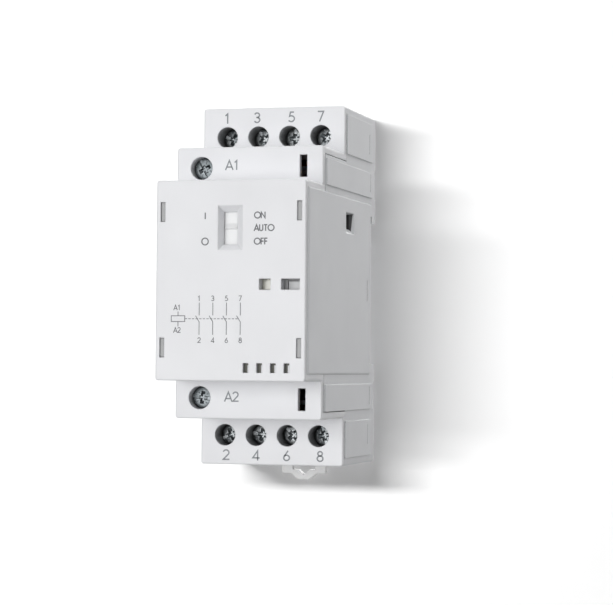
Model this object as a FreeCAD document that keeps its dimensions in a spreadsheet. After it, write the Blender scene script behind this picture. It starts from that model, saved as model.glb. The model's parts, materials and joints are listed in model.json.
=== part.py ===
import FreeCAD, Part
import math
import os
import re
import Sketcher

# Four-pole modular contactor for a 35 mm DIN rail, two modules wide. Millimetres.
# +X is right, +Y goes back towards the rail, +Z is up, seen from the front.
# The origin lies on the rail's centre line, in the plane that the housing seats on the rail with,
# so every depth in front of the rail is a negative Y.

# Driving dimensions. Heights are whole heights about the rail's centre line.
SIZES = {
    # outer form: three tiers stepping out from the terminals to the nose
    "width": 35.0,
    "nose_height": 45.0,
    "coil_height": 62.5,
    "power_height": 85.0,
    "nose_depth": 58.0,
    "coil_depth": 44.0,
    "power_depth": 25.0,
    "foot_depth": 4.4,
    # walls of the housing and of the cover
    "side_wall": 1.7,
    "end_wall": 1.5,
    "inner_wall": 1.1,
    "cover_plate": 1.5,
    "cover_wall": 1.7,
    "parting": 0.15,
    "coil_seam": 0.45,
    "panel_rise": 0.3,
    "panel_lead": 0.5,
    "panel_drop": 0.7,
    "panel_end": 0.8,
    "strip_band": 1.85,
    "coil_band": 2.6,
    "groove_width": 0.35,
    "groove_deep": 0.35,
    "power_groove": 2.5,
    "power_groove_low": 33.1,
    "power_groove_high": 37.9,
    "coil_groove": 1.2,
    "coil_groove_low": 23.9,
    "coil_groove_high": 28.3,
    "nose_groove": 4.0,
    "nose_groove_low": -3.1,
    "nose_groove_high": 2.1,
    "corner_round": 0.6,
    "rim_bevel": 0.2,
    # rail recess
    "rail_half": 18.0,
    "hook_tip": 16.3,
    "hook_foot": 22.8,
    "shoulder": 18.4,
    "rail_slit": 1.3,
    "seat_half": 16.0,
    "seat_relief": 0.15,
    "rear_foot": 29.4,
    "rear_step": 0.8,
    # rail clip and its channel
    "clip_centre": 0.45,
    "clip_width": 11.3,
    "clip_thick": 1.8,
    "clip_leg": 2.75,
    "clip_nose": 16.2,
    "clip_bar": 6.0,
    "clip_foot": 45.6,
    "clip_point": 1.5,
    "clip_flat": 1.45,
    "clip_flare": 0.3,
    "clip_sill": 0.9,
    "clip_shelf": 1.4,
    "clip_dip": 0.5,
    "clip_corner": 0.6,
    "clip_play": 0.2,
    "clip_lip": 1.75,
    "clip_lead": 1.2,
    # power terminals
    "pole_margin": 2.1,
    "terminal_rise": 35.5,
    "power_well": 5.1,
    "well_wall": 0.9,
    "head_sink": 5.0,
    "head_width": 4.7,
    "head_thick": 2.2,
    "head_bevel": 0.3,
    "cross_reach": 1.5,
    "cross_half": 0.42,
    "cross_sink": 1.2,
    "slot_sink": 0.75,
    "screw_width": 3.5,
    "screw_reach": 10.4,
    "seat_gap": 0.1,
    "ledge_thick": 1.0,
    "ledge_foot": 31.0,
    "thread_play": 0.05,
    "cage_gap": 0.3,
    "cage_high": 7.4,
    "cage_side": 0.8,
    "cage_front": 1.6,
    "cage_rear": 1.1,
    "wire_gap": 4.7,
    "cage_play": 0.2,
    "floor_gap": 0.3,
    "web_thick": 0.9,
    "entry_width": 5.2,
    "entry_deep": 6.0,
    # coil terminals
    "coil_margin": 5.85,
    "coil_rise": 26.45,
    "coil_well": 5.3,
    "coil_sink": 2.2,
    "coil_head": 4.8,
    "coil_head_thick": 1.8,
    "coil_cross_sink": 1.0,
    "coil_screw": 3.0,
    "coil_reach": 5.7,
    "coil_shelf": 0.7,
    "coil_box_gap": 0.35,
    "coil_box_wall": 0.8,
    "coil_cage_width": 5.2,
    "coil_cage_high": 5.2,
    "coil_cage_side": 0.7,
    "coil_cage_front": 1.4,
    "coil_cage_rear": 0.9,
    "coil_wire_gap": 3.3,
    "coil_entry_width": 4.6,
    "coil_entry_deep": 4.6,
    "tab_thick": 0.7,
    "tab_width": 3.4,
    "tab_lead": 1.6,
    "tab_across": 7.7,
    "tab_drop": 12.3,
    "tab_elbow": 19.6,
    # current path
    "strip_thick": 1.0,
    "strip_gap": 0.2,
    "strip_clear": 0.1,
    "contact_sink": 15.6,
    "contact_reach": 6.5,
    "contact_rise": 8.2,
    "contact_width": 3.2,
    "contact_thick": 0.7,
    "closed_contact": 0.05,
    "bridge_width": 3.6,
    "bridge_thick": 1.0,
    "bridge_half": 10.3,
    "bridge_bow": 0.8,
    # magnet
    "travel": 2.5,
    "stack_width": 12.0,
    "core_half": 15.5,
    "core_yoke": 4.5,
    "core_leg": 4.5,
    "core_sink": 24.2,
    "core_play": 0.3,
    "closed_gap": 0.1,
    "magnet_floor": 1.8,
    "armature_thick": 4.2,
    "bobbin_wall": 1.0,
    "bobbin_half": 10.7,
    "bobbin_margin": 2.8,
    "winding_half": 10.2,
    "winding_margin": 3.6,
    "winding_round": 3.0,
    # contact carrier and springs
    "carrier_half": 4.9,
    "window_width": 5.0,
    "carrier_wall": 1.4,
    "window_deep": 8.4,
    "stem_half": 2.8,
    "stem_margin": 1.8,
    "spring_margin": 4.8,
    "spring_wide": 3.4,
    "spring_wire": 0.45,
    "spring_turns": 3.0,
    "spring_steps": 8,
    # selector, windows and slots of the nose
    "selector_low": 6.74,
    "selector_high": 16.72,
    "selector_width": 5.8,
    "selector_centre": -0.08,
    "throat_centre": -0.5,
    "throat_width": 3.15,
    "throat_low": 8.03,
    "throat_high": 15.37,
    "throat_deep": 1.6,
    "throat_boss": 2.1,
    "guide_wall": 1.0,
    "guide_lip": 0.8,
    "guide_over": 1.6,
    "slider_thick": 1.0,
    "slider_width": 8.0,
    "slider_throw": 2.2,
    "slider_play": 0.15,
    "grip_high": 1.4,
    "grip_lead": 0.3,
    "grip_rise": 0.4,
    "window_boss": 2.8,
    "window_frame": 0.9,
    "light_gap": 0.45,
    "flag_thick": 0.8,
    "flag_arm": 1.6,
    "flag_clear": 1.0,
    "window_low": -2.15,
    "window_high": 0.3,
    "light_margin": 8.11,
    "light_width": 2.63,
    "flag_margin": 1.37,
    "flag_width": 4.27,
    "vent_low": -20.6,
    "vent_high": -18.5,
    "vent_margin": 14.38,
    "vent_width": 1.3,
    "vent_pitch": 3.16,
    "snap_margin": 1.5,
    "snap_width": 1.1,
    "snap_high": 4.4,
    "snap_deep": 1.2,
    "snap_above": 15.4,
    "snap_below": 15.1,
    "release_margin": 5.55,
    "release_width": 1.75,
    "release_low": 24.1,
    "release_high": 29.2,
    # circuit board
    "board_sink": 6.0,
    "board_thick": 1.2,
    "board_margin": 3.0,
    "board_short": 6.1,
    "board_low": 17.4,
    "board_high": 2.4,
    "post_width": 2.8,
    "lamp_high": 1.0,
    "rectifier_left": 7.7,
    "rectifier_right": 2.6,
    "rectifier_low": 16.2,
    "rectifier_high": 8.8,
    "block_thick": 2.4,
    "varistor_across": 3.9,
    "varistor_drop": 10.9,
    "varistor_width": 7.6,
    # side windows for an accessory's link
    "link_front": 24.5,
    "link_rear": 16.8,
    "link_low": 12.4,
    "link_high": 17.4,
    "link_deep": 0.75,
    "link_lead": 0.2,
    "link_slope": 1.2,
}

# Sizes that follow from the driving ones. A width here is half a width, or a place right of the centre.
DERIVED = {
    "pole_pitch": "(width - 2 * pole_margin) / 4",
    "cage_width": "pole_pitch - web_thick - 2 * cage_gap",
    "strip_width": "cage_width - 2 * cage_side - 2 * strip_gap",
    "coil_across": "width / 2 - coil_margin",
    "contact_plane": "coil_depth - contact_sink",
    "core_face": "coil_depth - core_sink",
    "bobbin_across": "width / 2 - side_wall - bobbin_margin",
    "winding_across": "width / 2 - side_wall - winding_margin",
    "stem_across": "width / 2 - side_wall - stem_margin",
    "spring_across": "width / 2 - side_wall - spring_margin",
    "light_right": "width / 2 - light_margin",
    "light_left": "light_right - light_width",
    "flag_right": "width / 2 - flag_margin",
    "flag_left": "flag_right - flag_width",
    "vent_first": "width / 2 - vent_margin",
    "snap_across": "width / 2 - snap_margin",
    "release_left": "width / 2 - release_margin",
    "board_left": "width / 2 - board_margin",
    "board_right": "width / 2 - board_short",
    "board_front": "nose_depth - board_sink",
}

# Depths that several pieces share, as sums of the sizes above.
BEHIND_NOSE = "cover_plate - nose_depth"
BEHIND_COIL = "cover_plate - coil_depth"
BEHIND_POWER = "cover_plate - power_depth"
HEAD_TOP = "head_sink - power_depth"
HEAD_SEAT = f"{HEAD_TOP} + head_thick"
LEDGE_FRONT = f"{HEAD_SEAT} + seat_gap"
STRIP_FRONT = f"{HEAD_SEAT} + screw_reach + seat_gap"
STRIP_REAR = f"{STRIP_FRONT} + strip_thick"
CAGE_FRONT = f"{STRIP_FRONT} - strip_gap - cage_front"
CAGE_REAR = f"{STRIP_REAR} + wire_gap + cage_rear"
CHAMBER_FLOOR = f"{CAGE_REAR} + floor_gap"
COIL_HEAD_TOP = "coil_sink - coil_depth"
COIL_HEAD_SEAT = f"{COIL_HEAD_TOP} + coil_head_thick"
SHELF_FRONT = f"{COIL_HEAD_SEAT} + seat_gap"
TAB_FRONT = f"{COIL_HEAD_SEAT} + coil_reach + seat_gap"
TAB_REAR = f"{TAB_FRONT} + tab_thick"
COIL_CAGE_FRONT = f"{TAB_FRONT} - strip_gap - coil_cage_front"
COIL_CAGE_REAR = f"{TAB_REAR} + coil_wire_gap + coil_cage_rear"
YOKE_REAR = "0 - magnet_floor - core_play"
YOKE_FRONT = f"{YOKE_REAR} - core_yoke"
BOBBIN_FRONT = "0 - core_face + 2 * strip_gap"
BOBBIN_REAR = f"{YOKE_FRONT} - strip_gap"
ARMATURE_REAR = "0 - core_face - travel - closed_gap"
ARMATURE_FRONT = f"{ARMATURE_REAR} - armature_thick"
BRIDGE_REAR = "0 - contact_plane - 2 * contact_thick - travel - closed_contact"
WINDOW_REAR = f"{BRIDGE_REAR} - bridge_bow"
WINDOW_FRONT = f"{WINDOW_REAR} - window_deep"
CARRIER_REAR = f"{WINDOW_REAR} + carrier_wall"
CARRIER_FRONT = f"{WINDOW_FRONT} - carrier_wall"
WING_REAR = f"{ARMATURE_FRONT} + carrier_wall"
BOARD_FRONT = "0 - board_front"
SLIDER_FRONT = "throat_boss + slider_play - nose_depth"
SLIDER_REAR = f"{SLIDER_FRONT} + slider_thick"
CLIP_FRONT = "rail_slit + clip_play"
CLIP_REAR = f"{CLIP_FRONT} + clip_thick"

# Half widths and half heights that several pieces share.
INSIDE = "width / 2 - side_wall"
NOSE_INSIDE = "nose_height / 2 - cover_wall"
COIL_INSIDE = "coil_height / 2 - cover_wall"
POWER_INSIDE = "power_height / 2 - end_wall"
STRIP_OUT = f"{COIL_INSIDE} - parting - strip_clear"
STRIP_IN = f"{STRIP_OUT} - strip_thick"
DIVIDER_OUT = f"{STRIP_IN} - strip_gap"
DIVIDER_IN = f"{DIVIDER_OUT} - inner_wall"
FIRST_POLE = "0 - 1.5 * pole_pitch"

POLES = range(4)
ENDS = (1, -1)

# How far each screw's cross is turned from the one before, in degrees.
SCREW_TURN = 30
COIL_SCREW_TURN = 40

doc = FreeCAD.newDocument("Contactor")


def bound(text):
    """An expression with every size name pointed at the spreadsheet, and derived sizes written out."""

    def point(word):
        name = word.group(0)
        if name in DERIVED:
            return f"({bound(DERIVED[name])})"
        return f"Sizes.{name}" if name in SIZES else name

    return re.sub(r"[a-z][a-z_]+", point, str(text))


def add_sizes():
    sheet = doc.addObject("Spreadsheet::Sheet", "Sizes")
    for row, (name, value) in enumerate(SIZES.items(), 1):
        sheet.set(f"A{row}", name)
        sheet.set(f"B{row}", str(value))
        sheet.setAlias(f"B{row}", name)
    doc.recompute()


def size(name):
    """A driving dimension as the spreadsheet holds it."""
    return float(doc.getObject("Sizes").get(name))


def new_body(name, across="0", rise="0", turned=0):
    """An empty body at a place on the front, turned by some degrees about its own Y axis."""
    body = doc.addObject("PartDesign::Body", name)
    body.Label = name
    body.Placement = FreeCAD.Placement(FreeCAD.Vector(), FreeCAD.Rotation(FreeCAD.Vector(0, 1, 0), turned))
    body.setExpression("Placement.Base.x", bound(across))
    body.setExpression("Placement.Base.z", bound(rise))
    return body


def origin_part(body, role):
    return next(item for item in body.Origin.OriginFeatures if item.Role == role)


def rect(left, right, low, high):
    return [(left, low), (right, low), (right, high), (left, high)]


def square(across, rise, side):
    half = f"({side}) / 2"
    return rect(f"{across} - {half}", f"{across} + {half}", f"{rise} - {half}", f"{rise} + {half}")


def circle(across, rise, diameter):
    return (across, rise, diameter)


def bind(drawing, constraint, expression):
    index = drawing.addConstraint(constraint)
    drawing.setExpression(f"Constraints[{index}]", bound(expression))


def draw_circle(drawing, across, rise, diameter):
    ring = drawing.addGeometry(Part.Circle(FreeCAD.Vector(1, 1, 0), FreeCAD.Vector(0, 0, 1), 1), False)
    bind(drawing, Sketcher.Constraint("DistanceX", -1, 1, ring, 3, 1), across)
    bind(drawing, Sketcher.Constraint("DistanceY", -1, 1, ring, 3, 1), rise)
    bind(drawing, Sketcher.Constraint("Diameter", ring, 2), diameter)


def draw_outline(drawing, corners):
    """A closed chain of lines whose corners are each held from the sketch's origin."""
    count = len(corners)
    turns = [2 * math.pi * number / count for number in range(count)]
    starts = [FreeCAD.Vector(math.cos(turn), math.sin(turn), 0) for turn in turns]
    lines = [
        drawing.addGeometry(Part.LineSegment(starts[number], starts[(number + 1) % count]), False)
        for number in range(count)
    ]
    for number, line in enumerate(lines):
        drawing.addConstraint(Sketcher.Constraint("Coincident", line, 2, lines[(number + 1) % count], 1))
    for line, start, (across, rise) in zip(lines, starts, corners):
        bind(drawing, Sketcher.Constraint("DistanceX", -1, 1, line, 1, start.x), across)
        bind(drawing, Sketcher.Constraint("DistanceY", -1, 1, line, 1, start.y), rise)


def sketch(body, name, plane, offset, loops):
    drawing = body.newObject("Sketcher::SketchObject", name)
    drawing.AttachmentSupport = [(origin_part(body, plane), "")]
    drawing.MapMode = "FlatFace"
    drawing.setExpression("AttachmentOffset.Base.z", bound(offset))
    for loop in loops:
        if isinstance(loop, tuple):
            draw_circle(drawing, *loop)
        else:
            draw_outline(drawing, loop)
    return drawing


def extrude(kind, body, name, plane, offset, length, loops):
    drawing = sketch(body, f"{name}_sketch", plane, offset, loops)
    feature = body.newObject(f"PartDesign::{kind}", name)
    feature.Profile = drawing
    feature.setExpression("Length", bound(length))
    return feature


def slab(body, name, front, rear, *loops):
    """Material between two depths, outlined as seen from the front."""
    return extrude("Pad", body, name, "XZ_Plane", f"0 - ({rear})", f"{rear} - ({front})", loops)


def bite(body, name, front, rear, *loops):
    """A cut between two depths, outlined as seen from the front."""
    return extrude("Pocket", body, name, "XZ_Plane", f"0 - ({front})", f"{rear} - ({front})", loops)


def side_slab(body, name, left, right, *loops):
    """Material between two widths, outlined in depth and height."""
    return extrude("Pad", body, name, "YZ_Plane", left, f"{right} - ({left})", loops)


def side_bite(body, name, left, right, *loops):
    """A cut between two widths, outlined in depth and height."""
    return extrude("Pocket", body, name, "YZ_Plane", right, f"{right} - ({left})", loops)


def top_slab(body, name, low, high, *loops):
    """Material between two heights, outlined in width and depth."""
    return extrude("Pad", body, name, "XY_Plane", low, f"{high} - ({low})", loops)


def top_bite(body, name, low, high, *loops):
    """A cut between two heights, outlined in width and depth."""
    return extrude("Pocket", body, name, "XY_Plane", high, f"{high} - ({low})", loops)


def repeat(body, feature, count, pitch):
    """Copies of a feature in a row towards +X."""
    pattern = body.newObject("PartDesign::LinearPattern", f"{feature.Name}_row")
    pattern.Originals = [feature]
    pattern.Direction = (origin_part(body, "X_Axis"), [""])
    pattern.setExpression("Length", bound(f"({count} - 1) * {pitch}"))
    pattern.Occurrences = count
    body.Tip = pattern
    return pattern


def dress_edges(kind, body, name, size_name, size, chosen):
    doc.recompute()
    base = body.Tip
    edges = [f"Edge{number}" for number, edge in enumerate(base.Shape.Edges, 1) if chosen(edge)]
    feature = body.newObject(f"PartDesign::{kind}", name)
    feature.Base = (base, edges)
    feature.setExpression(size_name, bound(size))
    return feature


def round_edges(body, name, radius, chosen):
    """A fillet on every edge of the body that the test picks."""
    return dress_edges("Fillet", body, name, "Radius", radius, chosen)


def bevel_edges(body, name, size, chosen):
    """A chamfer on every edge of the body that the test picks."""
    return dress_edges("Chamfer", body, name, "Size", size, chosen)


def mirrored(loops):
    """The same loops below the centre line."""
    below = []
    for loop in loops:
        if isinstance(loop, tuple):
            below.append((loop[0], f"0 - ({loop[1]})", loop[2]))
        else:
            below.append([(across, f"0 - ({rise})") for across, rise in loop])
    return below


def both(*loops):
    return [*loops, *mirrored(loops)]


def along(edge, axis):
    """Whether an edge is a straight line along the given axis, 0 for X to 2 for Z."""
    if not isinstance(edge.Curve, Part.Line):
        return False
    return abs(abs(edge.Curve.Direction[axis]) - 1) < 1e-6


def near(value, *targets):
    return any(abs(value - target) < 1e-4 for target in targets)


def main_housing():
    """The body: side walls, terminal chambers, rail recess and clip channel, open to the front."""
    body = new_body("main_housing")
    nose = f"{NOSE_INSIDE} - parting"
    coil = f"{COIL_INSIDE} - parting"
    top = "power_height / 2"
    nose_front = f"{BEHIND_NOSE} + parting"
    coil_front = f"{BEHIND_COIL} + coil_seam"
    power_front = f"{BEHIND_POWER} + parting"
    stepped = "foot_depth - rear_step"
    above = [
        (nose_front, nose), (coil_front, nose), (coil_front, coil), (power_front, coil), (power_front, top),
        ("foot_depth", top), ("foot_depth", "rear_foot"), (stepped, "rear_foot"), (stepped, "hook_foot"),
        ("foot_depth", "hook_foot"),
    ]
    hook = [
        ("foot_depth", "hook_tip"), ("rail_slit", "hook_tip"), ("rail_slit", "rail_half"),
        ("0 - seat_relief", "rail_half"), ("0 - seat_relief", "seat_half"), ("0", "seat_half"),
    ]
    shoulder = [
        ("0", "0 - seat_half"), ("0 - seat_relief", "0 - seat_half"), ("0 - seat_relief", "0 - shoulder"),
        ("foot_depth", "0 - shoulder"),
    ]
    below = [(depth, f"0 - ({rise})") for depth, rise in reversed(above)]
    side_slab(body, "silhouette", "0 - width / 2", "width / 2", above + hook + shoulder + below)

    beyond = "0 - nose_depth - cover_plate"
    over_divider = "strip_thick + strip_gap - contact_plane"
    half = [
        (beyond, POWER_INSIDE), (CHAMBER_FLOOR, POWER_INSIDE), (CHAMBER_FLOOR, DIVIDER_OUT),
        (over_divider, DIVIDER_OUT), (over_divider, DIVIDER_IN), ("0 - magnet_floor", DIVIDER_IN),
    ]
    other_half = [(depth, f"0 - ({rise})") for depth, rise in reversed(half)]
    side_bite(body, "cavity", f"0 - ({INSIDE})", INSIDE, half + other_half)

    web_left = "0 - pole_pitch - web_thick / 2"
    web = rect(web_left, f"{web_left} + web_thick", f"{DIVIDER_OUT} - seat_gap", f"{POWER_INSIDE} + seat_gap")
    webs = slab(body, "webs", LEDGE_FRONT, f"{CHAMBER_FLOOR} + seat_gap", *both(web))
    repeat(body, webs, 3, "pole_pitch")
    ledge = rect(
        f"0 - ({INSIDE}) - seat_gap", f"{INSIDE} + seat_gap", "ledge_foot", f"{POWER_INSIDE} + seat_gap"
    )
    slab(body, "ledges", LEDGE_FRONT, f"{LEDGE_FRONT} + ledge_thick", *both(ledge))
    hole = square(FIRST_POLE, "terminal_rise", "screw_width + 2 * cage_play")
    holes = bite(body, "screw_holes", LEDGE_FRONT, f"{LEDGE_FRONT} + ledge_thick", *both(hole))
    repeat(body, holes, 4, "pole_pitch")

    entry_middle = f"{STRIP_REAR} + wire_gap / 2"
    entry = rect(
        f"{FIRST_POLE} - entry_width / 2", f"{FIRST_POLE} + entry_width / 2",
        f"{entry_middle} - entry_deep / 2", f"{entry_middle} + entry_deep / 2",
    )
    upper = top_bite(body, "upper_entries", POWER_INSIDE, "power_height / 2", entry)
    repeat(body, upper, 4, "pole_pitch")
    lower = top_bite(body, "lower_entries", "0 - power_height / 2", f"0 - ({POWER_INSIDE})", entry)
    repeat(body, lower, 4, "pole_pitch")

    box_right = "coil_cage_width / 2 + coil_box_gap - coil_across"
    box_low = "coil_rise - coil_cage_high / 2 - coil_box_gap"
    shelf = rect(f"0 - ({INSIDE}) - seat_gap", f"{box_right} + coil_box_wall", box_low, coil)
    slab(body, "coil_shelves", SHELF_FRONT, f"{SHELF_FRONT} + coil_shelf", *both(shelf))
    screen = rect(box_right, f"{box_right} + coil_box_wall", box_low, coil)
    slab(body, "coil_screens", SHELF_FRONT, f"{COIL_CAGE_REAR} - strip_gap", *both(screen))
    coil_hole = square("0 - coil_across", "coil_rise", "coil_screw + 2 * cage_play")
    bite(body, "coil_holes", SHELF_FRONT, f"{SHELF_FRONT} + coil_shelf", *both(coil_hole))

    channel_left = "clip_centre - clip_width / 2 - clip_play"
    channel_right = "clip_centre + clip_width / 2 + clip_play"
    past_foot = "0 - power_height / 2 - end_wall"
    channel_rear = f"{CLIP_REAR} + clip_play"
    bite(
        body, "clip_channel", "rail_slit", channel_rear,
        rect(channel_left, channel_right, past_foot, "0 - shoulder"),
    )
    bite(
        body, "clip_mouth", f"{CLIP_REAR}", "foot_depth",
        rect(f"{channel_left} + clip_lip", f"{channel_right} - clip_lip", past_foot, "0 - shoulder"),
    )
    bite(
        body, "clip_gate", f"{CLIP_REAR}", "foot_depth",
        rect(channel_left, channel_right, "0 - rear_foot", "0 - hook_foot"),
    )

    nose_start = f"{nose_front} + panel_lead"
    coil_start = f"{coil_front} + panel_lead"
    panels = [
        rect(nose_start, "0 - panel_end", "strip_band - nose_height / 2", "nose_height / 2 - strip_band"),
        rect(coil_start, "panel_end", "nose_height / 2", "coil_height / 2 - coil_band"),
        rect(power_front, "panel_end", "coil_height / 2", "power_height / 2 - strip_band"),
        *mirrored([
            rect(coil_start, "panel_end", "coil_height / 2 - strip_band", "nose_height / 2 + panel_drop"),
            rect(power_front, "panel_end", "power_height / 2 - strip_band", "coil_height / 2 + panel_drop"),
        ]),
    ]
    grooves = [
        rect("0 - nose_groove", "groove_width - nose_groove", "nose_groove_low", "nose_groove_high"),
        *both(
            rect("0 - coil_groove", "groove_width - coil_groove", "coil_groove_low", "coil_groove_high"),
            rect("0 - power_groove", "groove_width - power_groove", "power_groove_low", "power_groove_high"),
        ),
    ]
    link = rect("0 - link_front", "0 - link_rear", "link_low", "link_high")
    link_floor = rect(
        "link_lead - link_front", "0 - link_rear - link_slope",
        "link_low + link_slope", "link_high - link_lead",
    )
    for name, sign in (("right", 1), ("left", -1)):
        skin = "width / 2" if sign > 0 else "0 - width / 2 - panel_rise"
        side_slab(body, f"panels_{name}", skin, f"{skin} + panel_rise", *panels)
        level = "width / 2 + panel_rise" if sign > 0 else "groove_deep - width / 2 - panel_rise"
        side_bite(body, f"grooves_{name}", f"{level} - groove_deep", level, *grooves)
        side = "" if sign > 0 else "0 - "
        mouth = sketch(body, f"link_mouth_{name}", "YZ_Plane", f"{side}(width / 2 + panel_rise)", [link])
        floor = sketch(body, f"link_floor_{name}", "YZ_Plane", f"{side}(width / 2 - link_deep)", [link_floor])
        funnel = body.newObject("PartDesign::SubtractiveLoft", f"link_{name}")
        funnel.Profile = mouth
        funnel.Sections = [floor]
        funnel.Ruled = True
        wall = "width / 2" if sign > 0 else f"0 - ({INSIDE})"
        side_bite(body, f"link_slot_{name}", f"{wall} - side_wall", wall, link_floor)

    half_width, half_height = size("width") / 2, size("power_height") / 2

    def outer_corner(edge):
        centre = edge.CenterOfMass
        return along(edge, 1) and near(abs(centre.x), half_width) and near(abs(centre.z), half_height)

    round_edges(body, "corners", "corner_round", outer_corner)
    return body


def front_cover():
    """The stepped front in one piece, with its screw wells, windows and slots."""
    body = new_body("front_cover")
    nose, coil, top = "nose_height / 2", "coil_height / 2", "power_height / 2"
    outer = [
        ("0 - power_depth", top), ("0 - power_depth", coil), ("0 - coil_depth", coil),
        ("0 - coil_depth", nose), ("0 - nose_depth", nose),
    ]
    inner = [
        (BEHIND_NOSE, NOSE_INSIDE), (BEHIND_COIL, NOSE_INSIDE), (BEHIND_COIL, COIL_INSIDE),
        (BEHIND_POWER, COIL_INSIDE), (BEHIND_POWER, top),
    ]
    outer_below = [(depth, f"0 - ({rise})") for depth, rise in reversed(outer)]
    inner_below = [(depth, f"0 - ({rise})") for depth, rise in inner]
    profile = outer + outer_below + list(reversed(inner_below)) + inner
    side_slab(body, "tiers", "0 - width / 2", "width / 2", profile)

    half_width = size("width") / 2
    tiers = [(-size(f"{tier}_depth"), size(f"{tier}_height") / 2) for tier in ("nose", "coil", "power")]

    def tier_corner(edge):
        centre = edge.CenterOfMass
        heights = [height for _, height in tiers]
        return along(edge, 1) and near(abs(centre.x), half_width) and near(abs(centre.z), *heights)

    def rim(edge):
        box = edge.BoundBox
        for depth, height in tiers:
            if near(box.YMin, depth) and near(box.YMax, depth):
                at_side = near(abs(edge.CenterOfMass.x), half_width) and along(edge, 2)
                at_end = near(abs(edge.CenterOfMass.z), height) and along(edge, 0)
                reach = max(abs(box.ZMin), abs(box.ZMax))
                at_corner = isinstance(edge.Curve, Part.Circle) and near(reach, height)
                return at_side or at_end or at_corner
        return False

    round_edges(body, "corners", "corner_round", tier_corner)
    bevel_edges(body, "rims", "rim_bevel", rim)

    sleeve = square(FIRST_POLE, "terminal_rise", "power_well + 2 * well_wall")
    sleeves = slab(
        body, "power_sleeves", f"{BEHIND_POWER} - seat_gap", f"{LEDGE_FRONT} - strip_gap", *both(sleeve)
    )
    repeat(body, sleeves, 4, "pole_pitch")
    well = circle(FIRST_POLE, "terminal_rise", "power_well")
    wells = bite(body, "power_wells", "0 - power_depth", f"{LEDGE_FRONT}", *both(well))
    repeat(body, wells, 4, "pole_pitch")
    coil_sleeve = square("0 - coil_across", "coil_rise", "coil_well + well_wall")
    slab(body, "coil_sleeves", f"{BEHIND_COIL} - seat_gap", f"{SHELF_FRONT} - strip_gap", *both(coil_sleeve))
    coil_well = circle("0 - coil_across", "coil_rise", "coil_well")
    bite(body, "coil_wells", "0 - coil_depth", SHELF_FRONT, *both(coil_well))

    entry_middle = f"{TAB_REAR} + coil_wire_gap / 2"
    entry = rect(
        "0 - coil_across - coil_entry_width / 2", "coil_entry_width / 2 - coil_across",
        f"{entry_middle} - coil_entry_deep / 2", f"{entry_middle} + coil_entry_deep / 2",
    )
    top_bite(body, "upper_coil_entry", COIL_INSIDE, coil, entry)
    top_bite(body, "lower_coil_entry", f"0 - ({coil})", f"0 - ({COIL_INSIDE})", entry)

    release = rect("release_left", "release_left + release_width", "release_low", "release_high")
    bite(body, "release_slots", "0 - coil_depth", BEHIND_COIL, *both(release))

    guide = "slider_width / 2 + slider_play"
    centre = "throat_centre"
    reach_low = "throat_low - slider_throw - guide_over"
    reach_high = "throat_high + slider_throw + guide_over"
    outside = f"{guide} + guide_wall"
    boss = rect(f"{centre} - ({outside})", f"{centre} + {outside}", reach_low, reach_high)
    slab(body, "selector_boss", f"{BEHIND_NOSE} - seat_gap", "throat_boss - nose_depth", boss)
    lip_front = f"{SLIDER_REAR} + slider_play"
    lip_rear = f"{lip_front} + guide_lip"
    for name, sign in (("left", "-"), ("right", "+")):
        edges = [f"{centre} {sign} ({guide})", f"{centre} {sign} ({outside})"]
        near_edge, far_edge = edges if sign == "+" else reversed(edges)
        slab(body, f"guide_{name}", "throat_boss - nose_depth - seat_gap", lip_rear,
             rect(near_edge, far_edge, reach_low, reach_high))
        edges = [f"{centre} {sign} ({guide} - guide_lip)", f"{centre} {sign} ({outside})"]
        near_edge, far_edge = edges if sign == "+" else reversed(edges)
        slab(body, f"guide_lip_{name}", lip_front, lip_rear, rect(near_edge, far_edge, reach_low, reach_high))
    opening = rect(
        "selector_centre - selector_width / 2", "selector_centre + selector_width / 2",
        "selector_low", "selector_high",
    )
    mouth = sketch(body, "selector_mouth", "XZ_Plane", "nose_depth", [opening])
    throat = rect(f"{centre} - throat_width / 2", f"{centre} + throat_width / 2", "throat_low", "throat_high")
    floor = sketch(body, "selector_floor", "XZ_Plane", "nose_depth - throat_deep", [throat])
    funnel = body.newObject("PartDesign::SubtractiveLoft", "selector_funnel")
    funnel.Profile = mouth
    funnel.Sections = [floor]
    funnel.Ruled = True
    bite(body, "selector_throat", "throat_deep - nose_depth", "throat_boss - nose_depth", throat)

    frame_right = f"{INSIDE} - parting"
    frame = rect(
        "light_left - window_frame", frame_right, "window_low - window_frame", "window_high + window_frame"
    )
    slab(body, "window_frame_boss", f"{BEHIND_NOSE} - seat_gap", "window_boss - nose_depth", frame)
    bite(
        body, "windows", "0 - nose_depth", "window_boss - nose_depth",
        rect("light_left", "light_right", "window_low", "window_high"),
        rect("flag_left", "flag_right", "window_low", "window_high"),
    )
    vent = rect("vent_first", "vent_first + vent_width", "vent_low", "vent_high")
    vents = bite(body, "vents", "0 - nose_depth", BEHIND_NOSE, vent)
    repeat(body, vents, 4, "vent_pitch")
    snaps = []
    for side in ("0 - snap_across", "snap_across"):
        for height in ("snap_above", "0 - snap_below"):
            snaps.append(rect(
                f"{side} - snap_width / 2", f"{side} + snap_width / 2",
                f"{height} - snap_high / 2", f"{height} + snap_high / 2",
            ))
    bite(body, "snap_slots", "0 - nose_depth", "snap_deep - nose_depth", *snaps)
    posts = [
        square(across, rise, "post_width")
        for across, rise in (
            ("post_width - board_left", "post_width - board_low"),
            ("board_right - post_width", "post_width - board_low"),
            ("post_width - board_left", "board_high - post_width / 2"),
        )
    ]
    slab(body, "board_posts", f"{BEHIND_NOSE} - seat_gap", BOARD_FRONT, *posts)
    return body


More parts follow.
